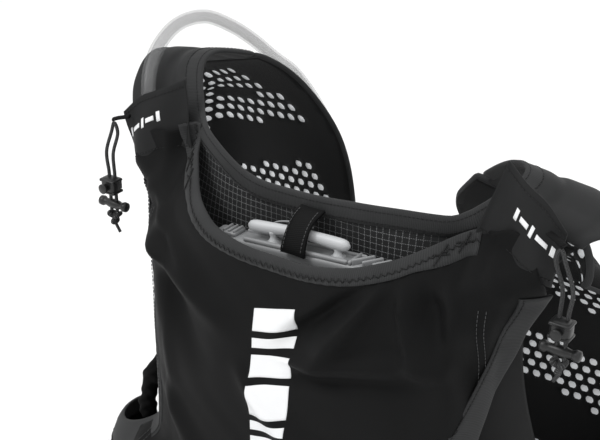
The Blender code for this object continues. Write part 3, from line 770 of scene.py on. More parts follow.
@dataclass(frozen=True)
class Torso:
    """Surface of the vest round the body: s runs round from the back's centre, z is height."""

    flat: float = 0.095
    side_x: float = 0.045
    side_y: float = 0.060
    flare: float = 0.033
    depth: float = 0.044
    mouth: Points = (
        (0.0, 0.1245), (0.020, 0.1247), (0.035, 0.1262), (0.050, 0.1285), (0.062, 0.1315), (0.073, 0.1348),
        (0.082, 0.1388), (0.0895, 0.1432), (0.0955, 0.1478), (0.0998, 0.1535), (0.1022, 0.1600),
        (0.1030, 0.1665),
    )
    mouth_right: Points = (
        (0.0, 0.1245), (0.020, 0.1247), (0.035, 0.1262), (0.050, 0.1285), (0.062, 0.1315), (0.073, 0.1348),
        (0.082, 0.1388), (0.0895, 0.1425), (0.0955, 0.1458), (0.1000, 0.1480), (0.1040, 0.1495),
        (0.1090, 0.1505),
    )
    neck_left: Points = (
        (0.0, 0.1500), (0.030, 0.1495), (0.045, 0.1505), (0.058, 0.1535), (0.069, 0.1575), (0.078, 0.1610),
        (0.087, 0.1645), (0.096, 0.1670),
    )
    neck_right: Points = (
        (0.0, 0.1500), (0.017, 0.1515), (0.035, 0.1535), (0.060, 0.1550), (0.080, 0.1545), (0.096, 0.1540),
    )
    side: Points = (
        (0.190, -0.0920), (0.168, -0.0870), (0.147, -0.0800), (0.131, -0.0670), (0.1215, -0.0440),
        (0.1178, -0.0150), (0.1185, 0.0200), (0.1240, 0.0580), (0.1315, 0.0820), (0.1385, 0.1040),
        (0.1430, 0.1180),
    )
    side_right: Points = (
        (0.190, -0.0920), (0.168, -0.0870), (0.147, -0.0800), (0.131, -0.0670), (0.1215, -0.0440),
        (0.1178, -0.0150), (0.1215, 0.0200), (0.1330, 0.0560), (0.1410, 0.0800), (0.1455, 0.1020),
        (0.1465, 0.1180),
    )
    armhole: Points = (
        (0.196, HEM_Z), (0.196, -0.110), (0.190, -0.050), (0.170, -0.012), (0.156, 0.030),
        (0.149, 0.070), (0.150, 0.110), (0.157, 0.138), (0.164, YOKE_Z - 0.0045),
    )

    def mouth_edge(self, side: float, count: int) -> Array:
        """Mouth edge of one side as points (s, z), from the middle."""
        return even(self.mouth_right if side > 0 else self.mouth, count)

    def neck(self, side: float, count: int) -> Array:
        """Neck edge of one side as points (s, z), from the middle."""
        return even(self.neck_right if side > 0 else self.neck_left, count)

    def side_edge(self, side: float, count: int) -> Array:
        """Side edge of the pocket on one side as points (s, z) with s positive, from the hem up."""
        return even(self.side_right if side > 0 else self.side, count)

    def body(self, s: Array, z: Array) -> tuple[Array, Array]:
        """Points on the wearer's side of the back, and their outward directions."""
        s, z = np.broadcast_arrays(np.asarray(s, float), np.asarray(z, float))
        start = self.flat + 0.060 * ease(0.11, 0.155, z)
        rx = self.side_x + self.flare * ease(-0.005, -0.085, z)
        arc = (rx + self.side_y) / 2
        r, sign = np.abs(s), np.where(s >= 0, 1.0, -1.0)
        angle = np.minimum(np.maximum(0, r - start) / arc, math.pi / 2)
        beyond = np.maximum(0, r - start - angle * arc)
        x = np.minimum(r, start) + rx * np.sin(angle)
        lean = np.minimum(0.024, 4 * np.maximum(0, r - 0.03) ** 2) * ease(0.09, 0.15, z)
        y = self.side_y * (1 - np.cos(angle)) + beyond - PAD_T - GAP + lean
        normal = unit(np.stack((self.side_y * np.sin(angle) * sign, -rx * np.cos(angle), 0 * angle), -1))
        return np.stack((sign * x, y, z), -1), normal

    def on_body(self, s: Array, z: Array, off: Array | float) -> Array:
        """Points off from the wearer's side of the back."""
        point, normal = self.body(s, z)
        return point + normal * np.asarray(off, float)[..., None]

    def gap(self, s: Array, z: Array) -> Array:
        """Distance of the outer pocket's cloth from the back."""
        r = np.abs(s)
        deep = (self.depth + 0.009 * ease(0.11, 0.02, z)) * (1 - 0.8 * ease(0.118, 0.158, z))
        deep = deep * (1 - 0.8 * ease(-0.150, -0.200, z))
        shape = np.maximum(0, 1 - (r / 0.130) ** 3)
        shape_low = np.maximum(0, 1 - (r / 0.200) ** 4)
        low = ease(-0.055, -0.095, z)
        base = 0.0065 + 0.0120 * ease(0.085, 0.125, z) * ease(0.108, 0.124, r)
        base = base + 0.0045 * ease(0.045, 0.095, z) * ease(0.150, 0.115, z) * ease(0.094, 0.114, r)
        tuck = 1 - 0.75 * ease(0.149, 0.161, z) * ease(0.113, 0.106, r)
        return tuck * (base + np.maximum(0, deep - base) * (shape * (1 - low) + shape_low * low))

    def on_shell(self, s: Array, z: Array, off: Array | float = 0.0) -> Array:
        """Points off from the outer pocket's cloth."""
        return self.on_body(s, z, self.gap(s, z) + off)


@dataclass(frozen=True)
class Strap:
    """Surface of one shoulder strap and front panel: t runs down it, w across it."""

    side: float
    stations: Points = (
        (0.1370, 0.0200, 0.1540, 0.0305), (0.1440, 0.0360, 0.1800, 0.0310),
        (0.1480, 0.0590, 0.1925, 0.0310), (0.1430, 0.0900, 0.1820, 0.0330),
        (0.1300, 0.1180, 0.1560, 0.0370), (0.1265, 0.1430, 0.1120, 0.0475),
        (0.1250, 0.1545, 0.0560, 0.0515), (0.1260, 0.1565, -0.0200, 0.0520),
        (0.1290, 0.1500, -0.1000, 0.0500), (0.1320, 0.1370, -0.1650, 0.0440),
    )
    tilt: float = 9.0
    shift: float = 0.022
    drop: float = 0.012
    tuck: float = 0.038
    sag: float = 0.044
    wrap: float = 0.030

    def half(self, t: Array | float) -> Array:
        """Half the width at t."""
        return along(self.stations, t)[..., 3]

    def edge(self, t: Array | float) -> Array:
        """Place of the neck edge at t, drawn in on the side that the hose loads."""
        drawn = 0.010 * ease(0.02, 0.18, t) * ease(0.33, 0.24, t) if self.side < 0 else 0.0
        return drawn - self.half(t)

    def axes(self, t: Array) -> tuple[Array, Array, Array]:
        """Centre, direction across and outward direction at t."""
        t = np.asarray(t, float)
        centre = along(self.stations, t)[..., :3].copy()
        ahead = along(self.stations, np.minimum(1.0, t + 0.01))
        ahead = ahead - along(self.stations, np.maximum(0.0, t - 0.01))
        way = unit(ahead[..., :3])
        tilt = math.radians(self.tilt) * np.sin(math.pi * np.minimum(1.0, t / 0.66))
        wide = np.stack((np.cos(tilt), 0 * tilt, -np.sin(tilt)), -1)
        wide = unit(wide - way * (wide * way).sum(-1, keepdims=True))
        out = unit(np.cross(wide, way))
        if self.side > 0:
            back_up = 1 - ease(0.42, 0.76, t)
            centre[..., 0] -= self.shift * ease(0.22, 0.50, t) + self.tuck * ease(0.14, 0.36, t) * back_up
            centre[..., 2] -= self.drop * ease(0.12, 0.34, t) * (1 - ease(0.50, 0.90, t))
            centre[..., 2] -= self.sag * (0.45 * ease(0.0, 0.14, t) + 0.55 * ease(0.22, 0.42, t)) * back_up
        flip = np.array((self.side, 1.0, 1.0))
        return centre * flip, wide * flip, out * flip

    def point(self, t: Array, w: Array, off: Array | float) -> Array:
        """Points w from the centre line and off from the wearer's side, wrapped round the outer edge."""
        centre, wide, out = self.axes(t)
        w = np.asarray(w, float)
        over = np.maximum(0.0, w - self.half(t))
        turn = over / self.wrap
        reach = (w - over) + self.wrap * np.sin(turn)
        back = self.wrap * (1 - np.cos(turn))
        normal = out * np.cos(turn)[..., None] + wide * np.sin(turn)[..., None]
        rise = np.asarray(off, float)[..., None]
        return centre + wide * reach[..., None] - out * back[..., None] + normal * rise

    def out(self, t: Array) -> Array:
        """Outward direction at t."""
        return self.axes(t)[2]

    def run(self, t: Array) -> Array:
        """Distance down the strap from its start to t."""
        fine = np.linspace(0, 1, 401)
        line = along(self.stations, fine)[:, :3]
        total = np.concatenate(([0.0], np.cumsum(np.linalg.norm(np.diff(line, axis=0), axis=1))))
        return np.interp(t, fine, total)

    def at_run(self, run: Array) -> Array:
        """The t at a distance down the strap."""
        fine = np.linspace(0, 1, 401)
        return np.interp(run, self.run(fine), fine)


TORSO = Torso()


def sheet_patch(
    bottom: Array, top: Array, left: Array, right: Array
) -> Callable[[Array, Array], tuple[Array, Array]]:
    """Blend of four (s, z) edges with shared corners, as a function of u and v."""

    def at(u: Array, v: Array) -> tuple[Array, Array]:
        """(s, z) at u and v."""
        def pick(curve: Array, t: Array) -> Array:
            """Point on an edge."""
            k = np.linspace(0, 1, len(curve))
            return np.stack((np.interp(t, k, curve[:, 0]), np.interp(t, k, curve[:, 1])), -1)

        uu, vv = u[:, None], v[:, None]
        p = pick(bottom, u) * (1 - vv) + pick(top, u) * vv + pick(left, v) * (1 - uu) + pick(right, v) * uu
        p -= bottom[0] * (1 - uu) * (1 - vv) + bottom[-1] * uu * (1 - vv)
        p -= top[0] * (1 - uu) * vv + top[-1] * uu * vv
        return p[:, 0], p[:, 1]

    return at


# ---------------------------------------------------------------- sub-assemblies


@dataclass
class Puff:
    """Cloth simulation that fills a sewn pad: its seams stay, and what is between them swells."""

    pressure: float = 4.0
    cap: float = 0.0022
    frames: int = 16
    stiff: float = 12.0

    def fill(self, obj: bpy.types.Object, pinned: Array) -> None:
        """Runs the simulation and applies it.

        Args:
            obj: A closed mesh with even quads.
            pinned: Whether each vertex is held by a seam.
        """
        before = np.array([v.co for v in obj.data.vertices])
        group = obj.vertex_groups.new(name="seams")
        group.add([int(i) for i in np.flatnonzero(pinned)], 1.0, "REPLACE")
        cloth = obj.modifiers.new("filling", "CLOTH")
        cloth.settings.quality = 4
        cloth.settings.mass = 0.15
        cloth.settings.tension_stiffness = self.stiff
        cloth.settings.compression_stiffness = self.stiff
        cloth.settings.shear_stiffness = self.stiff * 0.6
        cloth.settings.bending_stiffness = 0.3
        cloth.settings.use_pressure = True
        cloth.settings.uniform_pressure_force = self.pressure
        cloth.settings.vertex_group_mass = "seams"
        cloth.settings.effector_weights.gravity = 0.0
        cloth.collision_settings.use_self_collision = False
        scene = bpy.context.scene
        cloth.point_cache.frame_start = 1
        cloth.point_cache.frame_end = self.frames
        for f in range(1, self.frames + 1):
            scene.frame_set(f)
        graph = bpy.context.evaluated_depsgraph_get()
        after = np.array([v.co for v in obj.evaluated_get(graph).data.vertices])
        obj.modifiers.remove(cloth)
        obj.vertex_groups.remove(group)
        scene.frame_set(1)
        move = after - before
        size = np.maximum(np.linalg.norm(move, axis=1, keepdims=True), 1e-9)
        move *= np.minimum(1.0, self.cap / size)
        move[pinned] = 0.0
        for vert, p in zip(obj.data.vertices, before + move):
            vert.co = p
        log.info(
            "%s filled: moved up to %.1f mm", obj.name, 1000 * float(np.linalg.norm(move, axis=1).max())
        )


@dataclass
class Pad:
    """A sewn foam pad between two cloth faces that meet in a seam all round."""

    name: str
    place: Callable[[Array, Array, Array], Array]
    across: int
    up: int
    thick: float
    finish: Finish
    channels_u: tuple[float, ...] = ()
    channels_v: tuple[float, ...] = ()
    cap: float = 0.0014

    def build(self) -> bpy.types.Object:
        """Makes the closed pad, sews its channels and fills it.

        Returns:
            The pad.
        """
        bm = bmesh.new()
        bmesh.ops.create_grid(bm, x_segments=self.across, y_segments=self.up, size=0.5)
        layer = bm.loops.layers.uv.new("cloth")
        flat = np.array([v.co for v in bm.verts])
        u, v = flat[:, 0] + 0.5, flat[:, 1] + 0.5
        first = len(bm.verts)
        wide = float(np.linalg.norm(self.place(np.array([0.0]), np.array([0.5]), np.array([0.0]))
                                    - self.place(np.array([1.0]), np.array([0.5]), np.array([0.0]))))
        mid = self.place(np.full(33, 0.5), np.linspace(0, 1, 33), np.zeros(33))
        tall = length_of(mid)
        for face in bm.faces:
            for loop in face.loops:
                k = loop.vert.index
                loop[layer].uv = (u[k] * wide, v[k] * tall)
        rim = np.minimum(np.minimum(u, 1 - u) * wide, np.minimum(v, 1 - v) * tall)
        copy = bmesh.ops.duplicate(bm, geom=bm.verts[:] + bm.edges[:] + bm.faces[:])
        bmesh.ops.reverse_faces(bm, faces=[g for g in copy["geom"] if isinstance(g, bmesh.types.BMFace)])
        bm.verts.ensure_lookup_table()
        bm.verts.index_update()
        dip = np.ones(first)
        for c in self.channels_u:
            dip = np.minimum(dip, 0.30 + 0.70 * ease(0.0, 0.0065, np.abs(u - c) * wide))
        for c in self.channels_v:
            dip = np.minimum(dip, 0.30 + 0.70 * ease(0.0, 0.0065, np.abs(v - c) * tall))
        crown = 0.35 + 0.65 * np.sqrt(np.clip(rim / 0.007, 0, 1))
        half = self.thick / 2
        top = self.place(u, v, half + half * crown * dip)
        low = self.place(u, v, half - half * crown * np.where(dip < 1, 0.5 + 0.5 * dip, 1.0))
        every = np.vstack((top, low))
        for vert, p in zip(bm.verts, every):
            vert.co = p
        edges = [e for e in bm.edges if e.is_boundary]
        bmesh.ops.bridge_loops(bm, edges=edges)
        bmesh.ops.recalc_face_normals(bm, faces=bm.faces)
        obj = finish_mesh(self.name, bm, self.finish)
        pinned = np.tile((rim < 0.0015) | (dip < 0.55), 2)
        Puff(cap=self.cap).fill(obj, pinned)
        sub = obj.modifiers.new("smooth", "SUBSURF")
        sub.levels = sub.render_levels = 1
        return obj


@dataclass
class BackPocket:
    """Outer stretch pocket with its scooped mouth, its bindings, seams and print."""

    thick: float = 0.0008
    crush: float = 2.4
    folds: tuple[Fold, ...] = (
        Fold((0.070, 0.118), (0.030, 0.058), 0.0042, 0.0065),
        Fold((0.060, 0.118), (0.008, 0.070), -0.0030, 0.0060),
        Fold((0.082, 0.120), (0.104, 0.060), 0.0034, 0.0060),
        Fold((0.092, 0.122), (0.120, 0.052), -0.0030, 0.0065),
        Fold((0.040, 0.106), (-0.006, 0.066), 0.0016, 0.0060),
        Fold((-0.148, 0.112), (-0.030, 0.066), 0.0032, 0.0080),
        Fold((-0.136, 0.118), (-0.050, 0.030), -0.0024, 0.0090),
        Fold((-0.118, 0.126), (-0.060, 0.086), 0.0018, 0.0060),
        Fold((-0.104, 0.120), (-0.088, -0.020), 0.0022, 0.0090),
        Fold((0.012, 0.060), (0.108, 0.078), 0.0024, 0.0060),
        Fold((0.020, 0.050), (0.106, 0.066), -0.0018, 0.0050),
        Fold((0.104, 0.118), (0.112, 0.010), 0.0028, 0.0055),
        Fold((0.116, 0.110), (0.120, 0.040), -0.0016, 0.0045),
        Fold((-0.020, 0.040), (0.060, -0.030), 0.0024, 0.0110),
        Fold((0.100, 0.000), (0.020, -0.080), 0.0026, 0.0120),
        Fold((-0.100, 0.000), (-0.020, -0.090), 0.0026, 0.0120),
        Fold((-0.130, -0.070), (-0.030, -0.120), 0.0028, 0.0100),
        Fold((0.130, -0.070), (0.040, -0.125), 0.0028, 0.0100),
        Fold((-0.070, -0.150), (0.080, -0.140), 0.0016, 0.0080),
        Fold((0.160, -0.090), (0.120, -0.180), 0.0022, 0.0070),
        Fold((-0.160, -0.090), (-0.120, -0.180), 0.0022, 0.0070),
    )

    def relief(self, s: Array, z: Array) -> Array:
        """Height of all creases and of the gathers along the mouth."""
        lift = self.crush * sum(f.lift(s, z) for f in self.folds)
        drift = np.sin(s * 61 + 1.3 * np.sin(z * 47)) * np.sin(z * 53 + 0.7) * 0.0007
        fine = np.sin(s * 170 + 3 * np.sin(z * 60)) * np.sin(z * 120 + 40 * s) * 0.00022
        calm = ease(-0.085, -0.100, z) + (1 - ease(-0.085, -0.100, z)) * ease(0.150, 0.128, np.abs(s))
        return (lift + drift) * calm + fine

    def skin(self, s: Array, z: Array, off: float = 0.0) -> Array:
        """Points off from the creased cloth."""
        return TORSO.on_shell(s, z, self.relief(s, z) * self.free(s, z) + off)

    def free(self, s: Array, z: Array) -> Array:
        """How far the cloth is from its bound edges, from 0 to 1."""
        edge = even(TORSO.mouth, 60)
        r = np.abs(s)
        top = np.interp(r, edge[:, 0], edge[:, 1])
        near_top = np.where(r < 0.112, (top - z) / 0.030, 1.0)
        near_low = (z - HEM_Z) / 0.030
        side = TORSO.side_edge(1.0, 60)[24:]
        near_side = np.where(z > -0.050, (np.interp(z, side[:, 1], side[:, 0]) - 0.011 - r) / 0.022, 1.0)
        return np.clip(np.minimum(np.minimum(near_top, near_low), near_side), 0.0, 1.0) ** 0.8

    def build_shell(self) -> bpy.types.Object:
        """The pocket's cloth."""
        sides, halves = [], []
        for sign in (-1.0, 1.0):
            half = inward(TORSO.mouth_edge(sign, 25), -0.0035)
            half[0, 0] = 0.0
            half = even([*half[:-1], (0.132, 0.1600), (0.149, 0.1490)], 30)
            halves.append(half * np.array((sign, 1.0)))
            opening = inward(TORSO.side_edge(sign, 30), 0.0035)
            rise = even([(0.192, HEM_Z + 0.004), (0.192, -0.150), (0.192, -0.115), *opening, half[-1]], 60)
            sides.append(rise * np.array((sign, 1.0)))
        top = np.vstack((halves[0][::-1][:-1], halves[1]))
        m = len(top)
        bottom = np.stack((np.linspace(-0.192, 0.192, m), np.full(m, HEM_Z + 0.004)), -1)
        patch = sheet_patch(bottom, top, *sides)

        def place(u: Array, v: Array) -> tuple[Array, Array, Array]:
            """Points of the pocket's outer face."""
            s, z = patch(u, v)
            return self.skin(s, z), np.stack((s, z), -1), TORSO.body(s, z)[1]

        return thicken(finish_mesh("pocket_shell", grid(place, 190, 170), SHELL), self.thick)

    def tape(self, name: str, edge: Array, side: float, wide: float | Array = TAPE_W) -> bpy.types.Object:
        """Binding folded over an edge of the pocket.

        Args:
            name: Name of the piece.
            edge: The edge as (s, z), with the cloth on its right.
            side: Which way across the edge the cloth lies, 1 or -1.
            wide: Width of the tape on the outer face.

        Returns:
            The binding.
        """
        run = np.concatenate(([0.0], np.cumsum(np.linalg.norm(np.diff(edge, axis=0), axis=1))))
        wide = np.broadcast_to(np.asarray(wide, float), (len(edge),))
        legs = np.array([
            (1.0, 0.0), (0.96, 0.0011), (0.55, 0.0014), (0.16, 0.0013), (0.03, 0.0009), (0.0, -0.0003),
            (0.03, -0.0015), (0.16, -0.0020), (0.55, -0.0020), (0.90, -0.0019)
        ])

        def place(u: Array, v: Array) -> tuple[Array, Array, Array]:
            """Points of the folded tape."""
            k = np.rint(u * (len(edge) - 1)).astype(int)
            leg = np.stack([np.interp(v, np.linspace(0, 1, len(legs)), legs[:, c]) for c in (0, 1)], -1)
            d = np.gradient(edge, axis=0)
            d = unit(d)[k]
            p = edge[k] + side * (leg[:, :1] * wide[k, None]) * np.stack((-d[:, 1], d[:, 0]), -1)
            ripple = 0.00028 * np.sin(run[k] * 900 + 2 * np.sin(run[k] * 90)) * leg[:, 0]
            off = leg[:, 1] + ripple * (leg[:, 1] > 0)
            out = TORSO.body(p[:, 0], p[:, 1])[1] * np.where(v < 0.5, 1.0, -1.0)[:, None]
            return TORSO.on_shell(p[:, 0], p[:, 1], off), np.stack((run[k], v * 0.022), -1), out

        return thicken(finish_mesh(name, grid(place, len(edge) - 1, 18), TAPE), 0.0006)

    def seam(
        self, name: str, line: Array, off: float, width: float, step: float, finish: Finish = THREAD
    ) -> bpy.types.Object:
        """A row of stitches on the pocket along an (s, z) line."""
        points = TORSO.on_shell(line[:, 0], line[:, 1], off)
        return finish_mesh(name, stitches(
            points, TORSO.body(line[:, 0], line[:, 1])[1], width, step
        ), finish)

    def build_bindings(self) -> list[bpy.types.Object]:
        """Mouth, side and hem bindings with their zigzag seams and bar tacks."""
        mouth = np.vstack((mirrored(TORSO.mouth_edge(-1.0, 70)[::-1])[:-1], TORSO.mouth_edge(1.0, 70)))
        pieces = [self.tape(
            "mouth_tape", mouth, -1.0, 0.0092 + 0.0040 * ease(0.078, 0.096, np.abs(mouth[:, 0]))
        )]
        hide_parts("mouth_binding")
        pieces.append(self.seam("mouth_zigzag", inward(mouth, -0.0054), 0.0018, 0.0032, 0.0021))
        for tag, sign in SIDES:
            edge = TORSO.side_edge(sign, 70) * np.array((sign, 1.0))
            obj = self.tape("side_tape_" + tag, edge, sign, 0.0155)
            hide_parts("side_binding_" + tag)
            pieces += [obj, self.seam(
                "side_stitches_" + tag, inward(edge, sign * 0.0135), 0.0016, 0.0, 0.0026
            )]
            tacks = []
            for s, z, turn in ((0.0990, 0.1440, 0.9), (0.0900, 0.1380, 0.9)):
                for lean in (-1, 1):
                    a = turn + lean * 0.6
                    way = np.array((math.sin(a) * 0.0040, math.cos(a) * 0.0052))
                    mid = np.array((sign * (s + 0.0040), z))
                    line = np.linspace(mid - way * (sign, 1), mid + way * (sign, 1), 12)
                    tacks.append(stitches(
                        TORSO.on_shell(line[:, 0], line[:, 1], 0.0019),
                        TORSO.body(line[:, 0], line[:, 1])[1], 0.0014, 0.0006
                    ))
            pieces.append(finish_mesh("bar_tacks_" + tag, join(tacks), THREAD))
        hem = np.stack((np.linspace(-0.192, 0.192, 160), np.full(160, HEM_Z)), -1)
        obj = self.tape("hem_tape", hem, 1.0)
        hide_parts("hem_binding")
        pieces += [obj, self.seam("hem_stitches", hem + (0, 0.0085), 0.0018, 0.0, 0.0028)]
        return pieces

    def build_seams(self) -> list[bpy.types.Object]:
        """Topstitching along the flat-felled seams that shape the pocket."""
        pieces = []
        rows = []
        for sign in (-1.0, 1.0):
            line = even([
                (0.116, 0.112), (0.121, 0.060), (0.113, 0.000), (0.118, -0.060), (0.128, -0.130),
                (0.134, -0.190)
            ], 160)
            line = line * np.array((sign, 1.0))
            for shift in (-0.0016, 0.0016):
                p = line + np.array((shift, 0.0))
                points = self.skin(p[:, 0], p[:, 1], 0.0002)
                rows.append(stitches(points, TORSO.body(p[:, 0], p[:, 1])[1], 0.0, 0.0027, 0.00022))
        pieces.append(finish_mesh("pocket_topstitch", join(rows), THREAD_PALE))
        return pieces

    def build_print(self) -> bpy.types.Object:
        """Column of plain slanted bars printed down the centre of the pocket."""
        bars = []
        z = 0.0905
        slant = 0.0045
        for tall in (0.0150, 0.0070, 0.0150, 0.0230, 0.0070, 0.0150, 0.0230, 0.0070, 0.0150):
            def place(u: Array, v: Array, z: float = z, tall: float = tall) -> tuple[Array, Array, Array]:
                """Points of one bar, a little over the cloth."""
                s = -0.0115 + 0.0300 * u
                zz = z - tall * (1 - v) + slant * (u - 0.5) + 0.004 * (s / 0.03)
                return self.skin(s, zz, 0.00022), np.stack((s, zz), -1), TORSO.body(s, zz)[1]
            bars.append(grid(place, 26, 12))
            z -= tall + 0.0048
        return thicken(finish_mesh("pocket_print", join(bars), PRINT_WHITE), 0.0002)

    def build(self) -> None:
        """Builds the pocket, hides the model's outer shell and attaches the pieces to the vest."""
        shell = self.build_shell()
        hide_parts("outer_shell")
        trims = self.build_bindings() + self.build_seams() + [self.build_print()]
        for piece in [shell, *trims]:
            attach(piece, "vest")
        log.info("back pocket: %d pieces", 1 + len(trims))


@dataclass
class Back:
    """Lining against the wearer, its spacer pad and the neck binding."""

    pad_wide: float = 0.150
    pad_top: float = 0.088
    pad_low: float = -0.190

    def build_panel(self) -> bpy.types.Object:
        """Ripstop back panel, from hem to yoke."""
        halves = []
        for sign in (-1.0, 1.0):
            neck = inward(TORSO.neck(sign, 20), -0.0040)
            neck[0, 0] = 0.0
            yoke = (
                (0.1060, 0.1500), (0.112, YOKE_Z - GAP), (0.138, YOKE_Z - 0.0015), (0.164, YOKE_Z - 0.0045)
            )
            halves.append(even([*neck, *yoke], 40) * np.array((sign, 1.0)))
        top = np.vstack((halves[0][::-1][:-1], halves[1]))
        side = even(TORSO.armhole, 60)
        m = len(top)
        bottom = np.stack((np.linspace(-0.196, 0.196, m), np.full(m, HEM_Z + 0.001)), -1)
        patch = sheet_patch(bottom, top, mirrored(side), side)

        def place(u: Array, v: Array) -> tuple[Array, Array, Array]:
            """Points of the panel's outer face."""
            s, z = patch(u, v)
            sag = 0.0005 * np.sin(s * 95 + 2 * np.sin(z * 40)) * np.sin(z * 80 + 1) * ease(
                0.0, 0.02, TORSO.gap(s, z) - 0.010
            )
            return TORSO.on_body(s, z, PANEL_T + sag), np.stack((s, z), -1), TORSO.body(s, z)[1]

        panel = thicken(finish_mesh("back_lining", grid(place, 150, 130), LINER), PANEL_T)
        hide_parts("back_panel")
        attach(panel, "vest")
        return panel

    def build_pad(self) -> bpy.types.Object:
        """Spacer-net pad with sewn channels, crowned towards the wearer."""
        def place(u: Array, v: Array, off: Array) -> Array:
            """Points of the rounded pad, off from the lining."""
            a, b = 2 * u - 1, 2 * v - 1
            corner = 1 - 0.055 * np.abs(b) ** 6
            rise = 1 - 0.030 * np.abs(a) ** 6
            x = self.pad_wide / 2 * a * corner
            z = (self.pad_top + self.pad_low) / 2 + (self.pad_top - self.pad_low) / 2 * b * rise
            return np.stack((x, -PAD_T + off, z), -1)

        pad = Pad("back_spacer_pad", place, 40, 72, PAD_T, SPACER,
                  channels_u=(0.30, 0.70), channels_v=(0.20, 0.40, 0.60, 0.80), cap=0.0010).build()
        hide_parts("back_pad")
        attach(pad, "vest")
        return pad

    def neck_line(self, side: float) -> tuple[Array, Array, Array]:
        """Edge of the neck opening up one strap: points, cloth side and outward directions."""
        edge = TORSO.neck(side, 30)
        point = TORSO.on_body(edge[:, 0], edge[:, 1], PANEL_T)
        normal = TORSO.body(edge[:, 0], edge[:, 1])[1]
        low = TORSO.on_body(*inward(edge, -0.01).T, PANEL_T)
        t = np.linspace(0.03, 0.325, 34)
        strap = Strap(side)
        flip = np.array((side, 1.0, 1.0))
        up = strap.point(t, strap.edge(t), FOAM_T - 0.0014)
        inner = strap.point(t, strap.edge(t) + 0.01, FOAM_T - 0.0014)
        points = np.vstack((point * flip, up))
        cloth = unit(np.vstack(((low - point) * flip, inner - up)))
        return points, cloth, unit(np.vstack((normal * flip, strap.out(t))))

    def build_neck(self) -> list[bpy.types.Object]:
        """Binding round the neck opening, with two rows of stitches."""
        right, cloth_r, out_r = self.neck_line(1.0)
        left, cloth_l, out_l = self.neck_line(-1.0)
        line = np.vstack((left[:0:-1], right))
        cloth = np.vstack((cloth_l[:0:-1], cloth_r))
        out = np.vstack((out_l[:0:-1], out_r))
        for _ in range(3):
            for arr in (line, cloth, out):
                arr[1:-1] = (arr[:-2] + 2 * arr[1:-1] + arr[2:]) / 4
        cloth, out = unit(cloth), unit(out)
        run = np.concatenate(([0.0], np.cumsum(np.linalg.norm(np.diff(line, axis=0), axis=1))))
        legs = np.array([
            (1.0, 0.0002), (0.97, 0.0012), (0.55, 0.0017), (0.16, 0.0016), (0.03, 0.0009), (0.0, -0.0003),
            (0.03, -0.0014), (0.16, -0.0021), (0.55, -0.0022), (0.90, -0.0021)
        ])

        wide = 0.0135 + 0.0027 * ease(0.155, 0.175, line[:, 2:])

        def place(u: Array, v: Array) -> tuple[Array, Array, Array]:
            """Points of the folded tape."""
            k = np.rint(u * (len(line) - 1)).astype(int)
            leg = np.stack([np.interp(v, np.linspace(0, 1, len(legs)), legs[:, c]) for c in (0, 1)], -1)
            ripple = 0.0002 * np.sin(run[k] * 800) * leg[:, 0] * (leg[:, 1] > 0)
            p = line[k] + cloth[k] * leg[:, :1] * wide[k] + out[k] * (leg[:, 1:] + ripple[:, None])
            return p, np.stack((run[k], v * 0.022), -1), out[k] * np.where(v < 0.5, 1.0, -1.0)[:, None]

        tape = thicken(finish_mesh("neck_tape", grid(place, len(line) - 1, 18), TAPE), 0.0006)
        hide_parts("neck_binding")
        seams = []
        for share in (0.24, 0.80):
            row = line + cloth * wide * share + out * 0.0017
            seams.append(stitches(row, out, 0.0, 0.0026, 0.00022))
        rows = finish_mesh("neck_stitches", join(seams), THREAD)
        return [tape, rows]

    def build(self) -> None:
        """Builds the back."""
        self.build_panel()
        self.build_pad()
        for piece in self.build_neck():
            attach(piece, "vest")
        log.info("back: lining, pad and neck binding")


